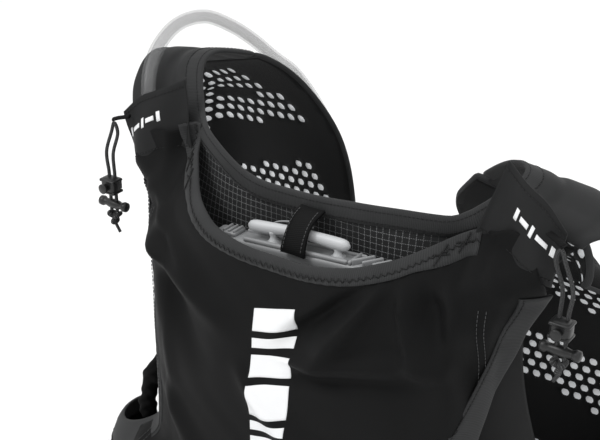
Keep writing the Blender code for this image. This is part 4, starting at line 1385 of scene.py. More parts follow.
@dataclass
class Harness:
    """Shoulder strap, perforated front panel and flask pocket of one side."""

    tag: str
    side: float
    first: float = 0.340
    skin_t: float = 0.0006
    pitch: float = 0.0094
    hole: float = 0.0031
    bulge: float = 0.006
    taper: float = 0.30
    bands: tuple[tuple[float, float, float, float], ...] = (
        (0.348, 0.452, 0.00, 0.016), (0.462, 0.532, -0.62, 0.020), (0.616, 0.676, -0.66, 0.024),
        (0.745, 0.805, -0.70, 0.020), (0.875, 0.930, -0.70, 0.016),
    )

    @property
    def strap(self) -> Strap:
        """The side's surface."""
        return Strap(self.side)

    def reach(self, t: Array) -> Array:
        """How far the panel wraps past its outer edge under the arm, in metres."""
        return 0.034 * ease(0.345, 0.400, t) * ease(0.70, 0.60, t) + 0.0015

    def build_shoulder(self) -> list[bpy.types.Object]:
        """Padded strap over the shoulder, with its edge seams."""
        strap = self.strap
        def place(u: Array, v: Array, off: Array) -> Array:
            """Points of the strap's pad."""
            t = 0.008 + 0.340 * v
            half = strap.half(t)
            left, right = strap.edge(t) + 0.0062, half + 0.0030 * ease(0.0, 0.1, t)
            return strap.point(t, left + (right - left) * u, off)

        pad = Pad(
            "shoulder_pad_" + self.tag, place, 24, 44, FOAM_T, STRAP_CLOTH, channels_u=(0.36, 0.86),
            cap=0.0008
        ).build()
        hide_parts("shoulder_" + self.tag)
        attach(pad, "vest")
        rows = []
        t = np.linspace(0.02, 0.335, 60)
        for share in (0.30, 0.80):
            half = strap.half(t)
            rows.append(stitches(
                strap.point(t, -half + 2 * half * share, FOAM_T * 0.72), strap.out(t), 0.0, 0.0027, 0.00022
            ))
        seams = finish_mesh("shoulder_stitches_" + self.tag, join(rows), THREAD)
        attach(seams, "vest")
        return [pad, seams]

    def outline(self) -> Array:
        """Outline of the front panel as (w, distance down), from its top outer corner round."""
        t = np.linspace(self.first, 0.995, 90)
        strap = self.strap
        half, run = strap.half(t), strap.run(t)
        outer = np.stack((half + self.reach(t), run), -1)
        inner = np.stack((-half, run), -1)
        low = np.stack((np.linspace(outer[-1, 0], inner[-1, 0], 14)[1:-1], np.full(12, run[-1])), -1)
        top = np.stack((np.linspace(inner[0, 0], outer[0, 0], 14)[1:-1], np.full(12, run[0])), -1)
        return np.vstack((outer, low, inner[::-1], top))

    def tall(self, t: float) -> float:
        """Height of a perforation against its width, more where the knit is stretched over the shoulder."""
        return 1.05 + 0.40 * float(ease(0.62, 0.45, t))

    def holes(self) -> list[tuple[float, float]]:
        """Centres of the perforations as (w, distance down), in staggered rows."""
        strap = self.strap
        spots = []
        run, i = float(strap.run(self.first)) + 0.004, 0
        while run < float(strap.run(0.99)):
            t = float(strap.at_run(run))
            half = float(strap.half(t))
            edge = half + float(self.reach(t)) - 0.0050
            for j in range(-9, 11):
                w = (j + 0.5 * (i % 2)) * self.pitch
                share = w / half
                if not -half + 0.0065 < w < edge:
                    continue
                for low, high, left, slant in self.bands:
                    place = (t - slant * share - low) / (high - low)
                    if 0 < place < 1 and share > left + self.taper * (1 - place):
                        spots.append((w, run))
            run += self.pitch * 0.84 * self.tall(t)
            i += 1
        return spots

    def build_skin(self) -> bpy.types.Object:
        """Inner face with real round holes cut in bands."""
        outline = self.outline()
        spots = self.holes()
        points = [Vector(p) for p in outline]
        edges = [(i, (i + 1) % len(outline)) for i in range(len(outline))]
        for w, run in spots:
            base = len(points)
            high = self.hole * self.tall(float(self.strap.at_run(run)))
            turns = [TAU * k / 12 for k in range(12)]
            points += [Vector((w + self.hole * math.cos(a), run + high * math.sin(a))) for a in turns]
            edges += [(base + k, base + (k + 1) % 12) for k in range(12)]
        low, high = outline.min(0), outline.max(0)
        taken = np.array(spots)
        for w in np.arange(low[0] + 0.003, high[0], 0.0045):
            for run in np.arange(low[1] + 0.003, high[1], 0.0045):
                t = float(self.strap.at_run(run))
                half = float(self.strap.half(t))
                if -half + 0.002 < w < half + float(self.reach(t)) - 0.002:
                    if np.hypot(taken[:, 0] - w, taken[:, 1] - run).min() > self.hole * 1.45 + 0.0006:
                        points.append(Vector((w, run)))
        verts, _, faces, _, _, _ = delaunay_2d_cdt(points, edges, [], 0, 1e-6)
        flat = np.array([tuple(v) for v in verts])
        bm = bmesh.new()
        layer = bm.loops.layers.uv.new("cloth")
        t = self.strap.at_run(flat[:, 1])
        at = self.strap.point(t, flat[:, 0], 0.0)
        made = [bm.verts.new(p) for p in at]
        for face in faces:
            mid = flat[list(face)].mean(0)
            tt = float(self.strap.at_run(mid[1]))
            half = float(self.strap.half(tt))
            if np.hypot(
                taken[:, 0] - mid[0], (taken[:, 1] - mid[1]) / self.tall(tt)
            ).min() < self.hole * 0.90:
                continue
            if not -half - 1e-5 < mid[0] < half + float(self.reach(tt)) + 1e-5:
                continue
            made_face = bm.faces.new([made[i] for i in face])
            for loop, i in zip(made_face.loops, face):
                loop[layer].uv = flat[i]
        bmesh.ops.delete(bm, geom=[v for v in bm.verts if not v.link_faces], context="VERTS")
        bm.normal_update()
        lean = sum(f.normal.dot(Vector((0.0, -1.0, 0.0))) * f.calc_area() for f in bm.faces)
        if lean < 0:
            bmesh.ops.reverse_faces(bm, faces=bm.faces)
        return thicken(finish_mesh("perforated_skin_" + self.tag, bm, PERFORATED), self.skin_t)

    def build_backing(self) -> bpy.types.Object:
        """Pale net behind the perforations, brightened by a painted glow."""
        strap = self.strap

        def place(u: Array, v: Array) -> tuple[Array, Array, Array]:
            """Points of the net."""
            t = self.first + 0.003 + (0.985 - self.first) * v
            half = strap.half(t)
            left, right = -half + 0.002, half + self.reach(t) - 0.002
            w = left + (right - left) * u
            return strap.point(t, w, self.skin_t + 0.0006), np.stack((w, strap.run(t)), -1), -strap.out(t)

        return thicken(finish_mesh("backing_net_" + self.tag, grid(place, 30, 90), BACKING), 0.0004)

    def build_panel(self) -> list[bpy.types.Object]:
        """Front panel: perforated skin, net, padded outer face and rolled edge."""
        strap = self.strap

        def place(u: Array, v: Array, off: Array) -> Array:
            """Points of the outer face's pad."""
            t = self.first + (0.995 - self.first) * v
            half = strap.half(t)
            w = -half + 0.0008 + (2 * half + self.reach(t) - 0.0016) * u
            return strap.point(t, w, 0.0019 + off * (FOAM_T - 0.0019) / FOAM_T)

        pad = Pad(
            "front_panel_pad_" + self.tag, place, 30, 84, FOAM_T, SHELL, channels_v=(0.17, 0.33, 0.52),
            cap=0.0006
        ).build()
        skin, net = self.build_skin(), self.build_backing()
        outline = self.outline()
        run = outline[:, 1]
        t = strap.at_run(run)
        rim = strap.point(t, outline[:, 0], FOAM_T * 0.5)
        rim = even(np.vstack((rim, rim[:1])), 260)
        edge = finish_mesh("panel_edge_" + self.tag, tube(rim, 0.0026, 10, (1.0, 0.62)), TAPE)
        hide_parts("front_panel_" + self.tag)
        for piece in (pad, skin, net, edge):
            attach(piece, "vest")
        return [pad, skin, net, edge]

    def pocket_lift(self, u: Array, v: Array) -> Array:
        """Bulge of the flask pocket over the panel."""
        return (1 - np.abs(2 * u - 1) ** 2.5) * (0.018 + 0.006 * ease(0.6, 0.0, v)) * ease(1.02, 0.86, v)

    def build_flask_pocket(self) -> list[bpy.types.Object]:
        """Stretch net pocket for a flask, with its bound mouth."""
        strap = self.strap
        top, low, inner, outer = 0.505, 0.985, 0.0140, 0.0020

        def span(t: Array, u: Array) -> Array:
            """Distance across at u."""
            half = strap.half(t)
            return -half + inner + (2 * half - inner - outer) * u

        def place(u: Array, v: Array) -> tuple[Array, Array, Array]:
            """Points of the pocket."""
            t = top + (low - top) * v
            w = span(t, u)
            crease = 0.0009 * np.sin(u * 17 + 3 * v) * np.sin(v * 23 + 2 * u) * np.sin(math.pi * u)
            lift = self.pocket_lift(u, v) + crease
            return strap.point(t, w, FOAM_T + 0.0017 + lift), np.stack((w, strap.run(t)), -1), strap.out(t)

        cloth = thicken(finish_mesh("flask_cloth_" + self.tag, grid(place, 60, 130), POCKET_NET), 0.0009)
        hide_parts("flask_pocket_" + self.tag)
        line_t = np.full(80, top)
        u = np.linspace(0, 1, 80)
        edge = strap.point(line_t, span(line_t, u), FOAM_T + 0.0014 + self.pocket_lift(u, np.zeros(80)))
        deep = strap.point(
            line_t + 0.03, span(line_t + 0.03, u), FOAM_T + 0.0014 + self.pocket_lift(u, np.zeros(80))
        )
        down, out = unit(deep - edge), strap.out(line_t)

        def fold(uu: Array, v: Array) -> tuple[Array, Array, Array]:
            """Points of the mouth's binding."""
            k = np.rint(uu * 79).astype(int)
            legs = np.array([
                (1.0, 0.0), (0.9, 0.0010), (0.3, 0.0012), (0.0, 0.0), (0.3, -0.0016), (0.9, -0.0016)
            ])
            leg = np.stack([np.interp(v, np.linspace(0, 1, 6), legs[:, c]) for c in (0, 1)], -1)
            p = edge[k] + down[k] * leg[:, :1] * 0.012 + out[k] * (
                leg[:, 1:] + 0.0003 * np.sin(uu * 190)[:, None]
            )
            return p, np.stack((uu * 0.09, v * 0.024), -1), out[k] * np.where(v < 0.5, 1.0, -1.0)[:, None]

        tape = thicken(finish_mesh("flask_tape_" + self.tag, grid(fold, 79, 14), TAPE), 0.0006)
        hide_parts("flask_binding_" + self.tag)
        rows = [stitches(edge + down * 0.0095 + out * 0.0014, out, 0.0026, 0.0022)]
        t = np.linspace(top + 0.02, low - 0.01, 60)
        for uu in (0.03, 0.97):
            one = np.full(60, uu)
            rows.append(stitches(strap.point(
                t, span(t, one), FOAM_T + 0.0024 + self.pocket_lift(one, (t - top) / (low - top))
            ), strap.out(t), 0.0, 0.0027, 0.00022))
        seams = finish_mesh("flask_stitches_" + self.tag, join(rows), THREAD_PALE)
        for piece in (cloth, tape, seams):
            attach(piece, "vest")
        return [cloth, tape, seams]

    def build_wing(self) -> bpy.types.Object:
        """Stretch side panel, bunched up under the arm."""
        strap, side = self.strap, self.side

        def place(u: Array, v: Array) -> tuple[Array, Array, Array]:
            """Points of the side panel."""
            z = -0.200 + 0.142 * v
            start = TORSO.on_body(np.full(len(u), side * 0.1965), z, PANEL_T)
            t = 0.955 - 0.22 * v
            end = strap.point(t, strap.half(t) + GAP, FOAM_T * 0.6)
            p = start + (end - start) * u[:, None]
            lobe = 0.0032 * np.sin(v * 30 + 1.5 * np.sin(u * 6)) * np.sin(math.pi * u) ** 0.6
            p[:, 0] += side * (self.bulge * np.sin(math.pi * u) * ease(0.0, 0.25, v + 0.1) + lobe)
            return p, np.stack((u * 0.11, z), -1), np.broadcast_to((side, 0.0, 0.0), p.shape)

        wing = thicken(finish_mesh("side_net_" + self.tag, grid(place, 60, 90), WING_NET), 0.0010)
        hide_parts("side_wing_" + self.tag)
        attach(wing, "vest")
        return wing

    def build_gather(self) -> bpy.types.Object:
        """Side net bunched into soft lobes where it leaves the arm opening."""
        path = even([
            (0.138, 0.016, -0.008), (0.148, 0.018, -0.026), (0.1525, 0.010, -0.042),
            (0.1560, 0.004, -0.058), (0.1560, 0.001, -0.074), (0.150, 0.002, -0.090)
        ], 64) * np.array((self.side, 1.0, 1.0))
        v = np.linspace(0, 1, 64)
        arch = np.sqrt(np.sin(math.pi * np.clip(v, 0.02, 0.98)))
        radius = 0.0096 * arch * (0.86 - 0.17 * np.cos(6.2 * math.pi * v))
        bm = tube(path, radius, 36, (1.0, 0.8))
        bm.normal_update()
        for vert in bm.verts:
            x, y, z = vert.co
            crease = math.sin(z * 420 + 3 * math.sin(y * 300)) + 0.6 * math.sin(
                (x * self.side + z) * 700 + y * 260
            )
            vert.co += vert.normal * 0.0007 * crease
        gather = finish_mesh("side_gather_" + self.tag, bm, WING_NET)
        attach(gather, "vest")
        return gather

    def build(self) -> None:
        """Builds the side."""
        pieces = [
            *self.build_shoulder(), *self.build_panel(), *self.build_flask_pocket(), self.build_wing(),
            self.build_gather()
        ]
        log.info("harness %s: %d pieces", self.tag, len(pieces))


@dataclass
class HosePort:
    """Cloth hood over a hose outlet, with a plain printed mark."""

    tag: str
    side: float
    top: Points = (
        (0.1185, 0.0165, 0.1930), (0.1342, 0.0095, 0.1852), (0.1490, 0.0055, 0.1782),
        (0.1628, 0.0026, 0.1650)
    )
    low: Points = ((0.1050, 0.1450), (0.1240, 0.1440), (0.1370, 0.1380), (0.1475, 0.1270))

    def point(self, u: Array, v: Array, off: Array | float = 0.0) -> Array:
        """Points of the hood: u runs outwards, v upwards."""
        low = along(self.low, u)
        base = TORSO.on_shell(low[:, 0], low[:, 1], -0.0012)
        high = along(self.top, u)
        arch = np.sin(math.pi * np.clip(u, 0.05, 0.95))[:, None]
        middle = (base + high) / 2 + np.array((0.0, -0.0050, -0.002)) * arch
        v = v[:, None]
        p = base * (1 - v) ** 2 + 2 * middle * v * (1 - v) + high * v * v
        crease = 0.0010 * np.sin(u * 9 + v[:, 0] * 5) * np.sin(v[:, 0] * math.pi)
        out = unit(np.array((0.25, -0.95, 0.25)))
        return (p + out * (crease + off)[:, None]) * np.array((self.side, 1.0, 1.0))

    def build(self) -> None:
        """Builds the hood, its hem stitches and its mark."""
        out = np.array((self.side * 0.25, -0.95, 0.25))

        def place(u: Array, v: Array) -> tuple[Array, Array, Array]:
            """Points of the hood's cloth."""
            return self.point(u, v), np.stack((u * 0.048, v * 0.05), -1), out

        hood = thicken(finish_mesh("port_hood_" + self.tag, grid(place, 44, 36), YOKE_CLOTH), 0.0010)
        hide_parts("hose_port_" + self.tag)
        u = np.linspace(0.02, 0.98, 60)
        rows = [stitches(
            self.point(u, np.full(60, v), 0.0004), np.broadcast_to(out, (60, 3)), 0.0, 0.0026, 0.00022
        ) for v in (0.92, 0.12)]
        seams = finish_mesh("port_stitches_" + self.tag, join(rows), THREAD)
        marks = []
        for first, last, high in (
            (0.34, 0.39, 0.15), (0.43, 0.57, 0.07), (0.61, 0.66, 0.15), (0.70, 0.84, 0.07),
            (0.88, 0.93, 0.15)
        ):
            def mark(
                uu: Array, v: Array, first: float = first, last: float = last, high: float = high
            ) -> tuple[Array, Array, Array]:
                """Points of one printed dash."""
                a = first + (last - first) * uu
                point = self.point(a, 0.66 - 0.10 * a + high * (v - 0.5), 0.0003)
                return point, np.stack((uu * 0.004, v * 0.004), -1), out
            marks.append(grid(mark, 5, 3))
        label = thicken(finish_mesh("port_mark_" + self.tag, join(marks), PRINT_WHITE), 0.0002)
        for piece in (hood, seams, label):
            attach(piece, "vest")
        log.info("hose port %s", self.tag)


@dataclass
class CordLock:
    """Elastic drawcord with its spring lock, toggle bar and knot, hanging at a port."""

    tag: str
    side: float
    top: tuple[float, float, float] = (0.1640, -0.0030, 0.1600)
    out: float = 0.0055
    spread: float = 0.0026
    cord: float = 0.0025

    def build(self) -> None:
        """Builds the cord and the pieces on it."""
        side, spread = self.side, self.spread
        x, y, top = (self.top[0] + self.out) * side, self.top[1] - 0.003, self.top[2]
        start = self.top[0] * side
        lock_z = top - 0.048
        bar_z = lock_z - 0.0150
        knot_z = bar_z - 0.0097
        path = even([
            (x + side * spread, y, bar_z - 0.0056), (x + side * spread, y, lock_z),
            (x + side * spread, y, lock_z + 0.009), (x + side * (spread + 0.0010), y, lock_z + 0.024),
            (start + side * spread * 1.2, y, top - 0.008), (start, y, top - 0.0005),
            (start - side * spread, y, top - 0.008), (x - side * spread, y, lock_z + 0.024),
            (x - side * spread, y, lock_z + 0.009), (x - side * spread, y, lock_z),
            (x - side * spread, y, bar_z - 0.0056),
        ], 120)
        crest = int(np.linalg.norm(path - (start, y, top - 0.0005), axis=1).argmin())
        strands = [path[crest::-1], path[crest:]]
        cords = [finish_mesh("drawcord_%s_%d" % (self.tag, k + 1), tube(line, self.cord / 2, 10), CORD)
                 for k, line in enumerate(strands)]
        bm = bmesh.new()
        block(bm, (x, y - 0.0015, lock_z), (0.0125, 0.0098, 0.0118), 0.0030)
        block(bm, (x, y - 0.0015, lock_z + 0.0042), (0.0132, 0.0104, 0.0022), 0.0010)
        block(bm, (x, y - 0.0015, lock_z - 0.0042), (0.0132, 0.0104, 0.0022), 0.0010)
        for dx in (-0.0046, 0.0, 0.0046):
            block(bm, (x + dx, y + 0.0034, lock_z), (0.0014, 0.0010, 0.0060), 0.0004)
        housing = finish_mesh("lock_housing_" + self.tag, bm, HARD_BLACK)
        button = finish_mesh("lock_plunger_" + self.tag, lathe((x, y - 0.0052, lock_z), (0, -1, 0), (
            (0.0, 0.0), (0.0, 0.0026), (0.0038, 0.0026), (0.0044, 0.0035), (0.0054, 0.0036),
            (0.0058, 0.0030), (0.0060, 0.0)
        )), HARD_BLACK)
        bar = finish_mesh("toggle_rod_" + self.tag, lathe((x - 0.0128, y, bar_z), (1, 0, 0), (
            (0.0, 0.0), (0.0003, 0.0024), (0.0010, 0.0034), (0.0034, 0.0036), (0.0046, 0.0030),
            (0.0060, 0.0024), (0.0090, 0.0032), (0.0128, 0.0035), (0.0166, 0.0032), (0.0196, 0.0024),
            (0.0210, 0.0030), (0.0222, 0.0036), (0.0246, 0.0034), (0.0253, 0.0024), (0.0256, 0.0)
        )), HARD_BLACK)
        a = np.linspace(0, TAU, 90)
        knot_line = np.stack((
            x + 0.0033 * (np.sin(a) + 0.55 * np.sin(2 * a)) * 0.86,
            y + 0.0024 * -np.sin(3 * a),
            knot_z + 0.0027 * (np.cos(a) - 0.75 * np.cos(2 * a)) * 0.98), -1)
        turns = tube(knot_line, self.cord * 0.66, 10)
        tail = even([
            (x + 0.0006, y, knot_z + 0.001), (x + side * 0.0010, y + 0.0005, knot_z - 0.0036),
            (x - side * 0.0002, y + 0.0010, knot_z - 0.0074),
            (x - side * 0.0030, y + 0.0012, knot_z - 0.0122)
        ], 26)
        knot = finish_mesh("knot_" + self.tag, join([turns, tube(tail, self.cord * 0.46, 10)]), CORD)
        for piece, node in (
            (cords[0], "drawcord_"), (housing, "cord_lock_"), (bar, "toggle_bar_"), (knot, "cord_knot_")
        ):
            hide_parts(node + self.tag)
            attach(piece, "vest")
        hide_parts("cord_plunger_" + self.tag)
        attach(button, "lock_button_" + self.tag)
        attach(cords[1], "vest")
        for piece, line in zip(cords, strands):
            top - 0.0005
        anchor = even([
            (start + side * 0.001, y + 0.0005, top + 0.0016),
            (start - side * 0.003, y + 0.002, top + 0.003), (start - side * 0.010, y + 0.005, top + 0.0045)
        ], 16)
        tab = finish_mesh("cord_tab_" + self.tag, tube(anchor, 0.0028, 10, (1.0, 0.45)), TAB)
        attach(tab, "vest")
        log.info("cord lock %s: cord %.0f mm", self.tag, 1000 * length_of(path))


@dataclass
class Reservoir:
    """Water bag hung in the pocket, with its slide-off clip, hanger bar and quick port."""

    wide: float = 0.150
    thick: float = 0.022
    top: float = 0.1010
    low: float = -0.180
    deep: float = -0.0225
    home: tuple[float, float, float] = (0.0065, -0.0225, 0.1150)
    tilt: float = 4.8
    port_z: float = -0.140

    def settle(self, bm: bmesh.types.BMesh) -> bmesh.types.BMesh:
        """Moves a mesh made about the clip's own centre to its place."""
        bmesh.ops.rotate(
            bm, verts=bm.verts, cent=(0, 0, 0), matrix=Matrix.Rotation(math.radians(-self.tilt), 3, "Y")
        )
        bmesh.ops.translate(bm, vec=Vector(self.home), verts=bm.verts)
        return bm

    def build_bag(self) -> list[bpy.types.Object]:
        """Film bag with a crumpled face and a welded rim."""
        mid, tall = (self.top + self.low) / 2, (self.top - self.low) / 2

        def place(u: Array, v: Array) -> tuple[Array, Array, Array]:
            """Points of the bag."""
            a = math.pi * (np.clip(v, 0.004, 0.996) - 0.5)
            b = TAU * u
            high = np.sign(np.sin(a)) * np.abs(np.sin(a)) ** 0.55
            ring = np.abs(np.cos(a)) ** 0.40
            x = self.wide / 2 * ring * np.sign(np.cos(b)) * np.abs(np.cos(b)) ** 0.6
            face = np.sign(np.sin(b)) * np.abs(np.sin(b)) ** 0.9
            z = mid + tall * high
            crumple = 0.0007 * np.sin(x * 90 + 3 * np.sin(z * 40)) * np.sin(z * 110 + 2)
            crumple = crumple + 0.0004 * np.sin(x * 260 + z * 190)
            y = self.deep + (self.thick / 2 * ring - 0.0008) * face + crumple * np.abs(face) * ring
            out = np.stack((np.cos(b) * 0.3, np.sin(b), 0.1 * np.sin(a)), -1)
            return np.stack((x, y, z), -1), np.stack((x, z), -1), out

        bag = finish_mesh("reservoir_bag", grid(place, 72, 90, close=True, caps=True), FILM)
        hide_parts("reservoir")
        bm = bmesh.new()
        block(bm, (0, 0, -0.0056), (0.124, 0.0050, 0.0066), 0.0016)
        fold = finish_mesh("reservoir_lip", self.settle(bm), FILM)
        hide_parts("reservoir_fold")
        return [bag, fold]

    def build_clip(self) -> list[bpy.types.Object]:
        """Slide-off clip: channel body, raised ridge, slanted ribs, latch and hanger bar on two posts."""
        bm = bmesh.new()
        block(bm, (0, 0, 0.0012), (0.136, 0.0168, 0.0078), 0.0026)
        for y in (-0.0068, 0.0068):
            block(bm, (0, y, -0.0036), (0.134, 0.0030, 0.0058), 0.0012)
        block(bm, (-0.0040, -0.0062, 0.0060), (0.0780, 0.0030, 0.0032), 0.0013)
        block(bm, (-0.0040, 0.0062, 0.0056), (0.0900, 0.0022, 0.0024), 0.0010)
        block(bm, (0.0365, 0.0, 0.0060), (0.0024, 0.0150, 0.0032), 0.0011)
        for i in range(5):
            turn = Matrix.Rotation(math.radians(-38), 3, "Z")
            block(
                bm, (0.0425 + i * 0.0066, -0.0004, 0.0064), (0.0020, 0.0150 - i * 0.0012, 0.0046), 0.0009,
                turn
            )
        block(bm, (-0.0560, 0.0, 0.0062), (0.0110, 0.0120, 0.0030), 0.0012)
        for i in range(3):
            block(bm, (-0.0520 - i * 0.0040, 0.0, 0.0082), (0.0016, 0.0100, 0.0018), 0.0006)
        block(bm, (-0.0655, 0.0, 0.0018), (0.0050, 0.0120, 0.0106), 0.0022)
        body = finish_mesh("clip_channel", self.settle(bm), CLIP_GREY)
        turns = np.linspace(-math.pi, math.pi, 40)
        bow = 0.0006 * np.sin(np.linspace(0, math.pi, 40))
        bar_path = np.stack((np.linspace(-0.043, 0.033, 40), bow, 0.0140 + 0.0007 * np.cos(turns)), -1)
        end = np.minimum(1.0, np.sqrt(np.clip(1 - (np.abs(np.linspace(-1, 1, 40)) ** 14), 0.04, 1)))
        swell = 0.0039 * end * (1 - 0.10 * np.cos(turns))
        parts = [tube(bar_path, swell, 20, (0.86, 1.0))]
        for x in (-0.024, 0.024):
            parts.append(lathe((x, 0.0, 0.0035), (0, 0, 1), (
                (0.0, 0.0), (0.0, 0.0052), (0.0016, 0.0048), (0.0030, 0.0030), (0.0052, 0.0021),
                (0.0072, 0.0024), (0.0092, 0.0032), (0.0092, 0.0)
            ), 20))
        bar = finish_mesh("hanger_bar", self.settle(join(parts)), BAR_GREY)
        wire_path = even([
            (-0.030, 0.0050, 0.0060), (-0.027, 0.0052, 0.0150), (-0.016, 0.0050, 0.0186),
            (-0.004, 0.0044, 0.0188), (0.004, 0.0040, 0.0186)
        ], 40)
        wire = finish_mesh("clip_tether", self.settle(tube(wire_path, 0.0006, 8)), CLIP_GREY)
        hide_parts("slide_clip")
        for piece in (body, bar, wire):
            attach(piece, "clip")
        return [body, bar, wire]

    def build_port(self) -> list[bpy.types.Object]:
        """Quick port low on the bag: flange, swivel elbow and release button."""
        face = self.deep - self.thick / 2
        z = self.port_z
        flange = finish_mesh("port_flange", lathe((0, face - 0.0003, z), (0, -1, 0), (
            (0.0, 0.0), (0.0, 0.0168), (0.0010, 0.0170), (0.0020, 0.0164), (0.0024, 0.0140),
            (0.0036, 0.0132), (0.0038, 0.0110), (0.0032, 0.0092), (0.0020, 0.0088), (0.0020, 0.0)
        ), 44), CLIP_GREY)
        parts = [lathe((0, face - 0.0023, z), (0, -1, 0), (
            (0.0, 0.0), (0.0, 0.0078), (0.0012, 0.0080), (0.0050, 0.0080), (0.0072, 0.0078),
            (0.0081, 0.0070), (0.0082, 0.0052), (0.0056, 0.0050), (0.0056, 0.0)
        ), 36)]
        parts.append(lathe((-0.004, face - 0.0076, z), (-1, 0, 0), (
            (0.0, 0.0), (0.0, 0.0040), (0.0060, 0.0036), (0.0080, 0.0030), (0.0100, 0.0029),
            (0.0112, 0.0033), (0.0124, 0.0029), (0.0140, 0.0033), (0.0152, 0.0029), (0.0164, 0.0026),
            (0.0164, 0.0)
        ), 24))
        elbow = finish_mesh("swivel_elbow", join(parts), CLIP_GREY)
        button = finish_mesh("release_cap", lathe(
            (0, face - 0.0098, z), (0, -1, 0),
            (
                (0.0, 0.0), (0.0, 0.0044), (0.0022, 0.0046), (0.0028, 0.0040), (0.0026, 0.0030),
                (0.0022, 0.0)
            ),
            28
        ), HARD_BLACK)
        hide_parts("reservoir_port")
        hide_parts("hose_elbow")
        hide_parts("release_button")
        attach(button, "release")
        return [flange, elbow]

    def build(self) -> None:
        """Builds the reservoir."""
        for piece in [*self.build_bag(), *self.build_port()]:
            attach(piece, "vest")
        self.build_clip()
        log.info("reservoir")


@dataclass
class DrinkingHose:
    """Milky hose from the reservoir over the left shoulder, with valve and keeper."""

    outer: float = 0.010
    bore: float = 0.0068
    path: Points = (
        (-0.0212, -0.0411, -0.140), (-0.0420, -0.0405, -0.136), (-0.0680, -0.0370, -0.112),
        (-0.0900, -0.0300, -0.060), (-0.0960, -0.0260, 0.000), (-0.1010, -0.0200, 0.060),
        (-0.1150, -0.0070, 0.105), (-0.1270, 0.0042, 0.130), (-0.1380, 0.0092, 0.148),
        (-0.1460, 0.0120, 0.162), (-0.1530, 0.0180, 0.176), (-0.1590, 0.0285, 0.1910),
        (-0.1620, 0.0440, 0.2040), (-0.1625, 0.0650, 0.2120), (-0.1600, 0.0900, 0.2110),
        (-0.1550, 0.1120, 0.2000), (-0.1480, 0.1290, 0.1865), (-0.1400, 0.1460, 0.1690),
        (-0.1365, 0.1700, 0.1490), (-0.1250, 0.1860, 0.1180), (-0.1165, 0.1950, 0.0860),
        (-0.1120, 0.2000, 0.0550), (-0.1090, 0.2020, 0.0200),
    )
    valve: float = 0.034

    def build(self) -> None:
        """Builds the hose and the pieces on it."""
        line = even(self.path, 74)
        fine = even(line, 220)
        wall = tube(fine, self.outer / 2, 22, cap=False)
        inner = tube(fine, self.bore / 2, 16, cap=False)
        bmesh.ops.reverse_faces(inner, faces=inner.faces)
        bm = join([wall, inner])
        rims = [e for e in bm.edges if e.is_boundary]
        for end in (0, -1):
            near = [e for e in rims if (Vector(fine[end]) - e.verts[0].co).length < self.outer]
            bmesh.ops.bridge_loops(bm, edges=near)
        hose = finish_mesh("drinking_hose", bm, HOSE)
        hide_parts("hose")
        tip, way = Vector(line[-1]), Vector(line[-1] - line[-3]).normalized()
        wide = Vector((0.0, 1.0, 0.0))
        wide = (wide - way * wide.dot(way)).normalized()
        start = tip + way * GAP
        body = finish_mesh("valve_shell", lathe(start, way, (
            (0.0, 0.0), (0.0, 0.0058), (0.0010, 0.0066), (0.0044, 0.0068), (0.0060, 0.0078),
            (0.0080, 0.0083), (0.0240, 0.0083), (0.0262, 0.0076), (0.0300, 0.0070), (0.0328, 0.0066),
            (0.0338, 0.0058), (0.0338, 0.0)
        ), 40), HARD_BLACK)
        pin = start + way * 0.018
        cross = wide.cross(way)
        turn = Matrix((cross, way, wide)).transposed()
        bm = lathe(pin + wide * 0.0050, wide, (
            (0.0, 0.0), (0.0, 0.0048), (0.0034, 0.0052), (0.0046, 0.0050), (0.0050, 0.0042), (0.0050, 0.0)
        ), 28)
        block(bm, pin + wide * 0.0108 + way * 0.0030, (0.0044, 0.0156, 0.0036), 0.0012, turn)
        lever = finish_mesh("shutoff_key", bm, CLIP_GREY)
        nose = start + way * (self.valve + GAP)
        bite = finish_mesh("bite_tip", lathe(nose, way, (
            (0.0, 0.0), (0.0, 0.0060), (0.0014, 0.0072), (0.0040, 0.0075), (0.0062, 0.0066),
            (0.0080, 0.0058), (0.0110, 0.0056), (0.0150, 0.0062), (0.0180, 0.0064), (0.0196, 0.0056),
            (0.0200, 0.0030), (0.0192, 0.0)
        ), 32), SILICONE)
        axis = Vector(line[67] - line[66]).normalized()
        sleeve = finish_mesh("hose_sleeve", lathe(Vector(line[66]) - axis * 0.005, axis, (
            (0.0, 0.0056), (0.0, 0.0068), (0.0010, 0.0074), (0.0030, 0.0072), (0.0070, 0.0072),
            (0.0090, 0.0074), (0.0100, 0.0068), (0.0100, 0.0056)
        ), 28), WEBBING)
        for piece, node in (
            (body, "valve_body"), (lever, "shutoff_lever"), (bite, "bite_valve"), (sleeve, "hose_keeper")
        ):
            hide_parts(node)
            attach(piece, "lever" if piece is lever else "vest")
        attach(hose, "vest")
        log.info("hose: %.0f mm", 1000 * length_of(line))


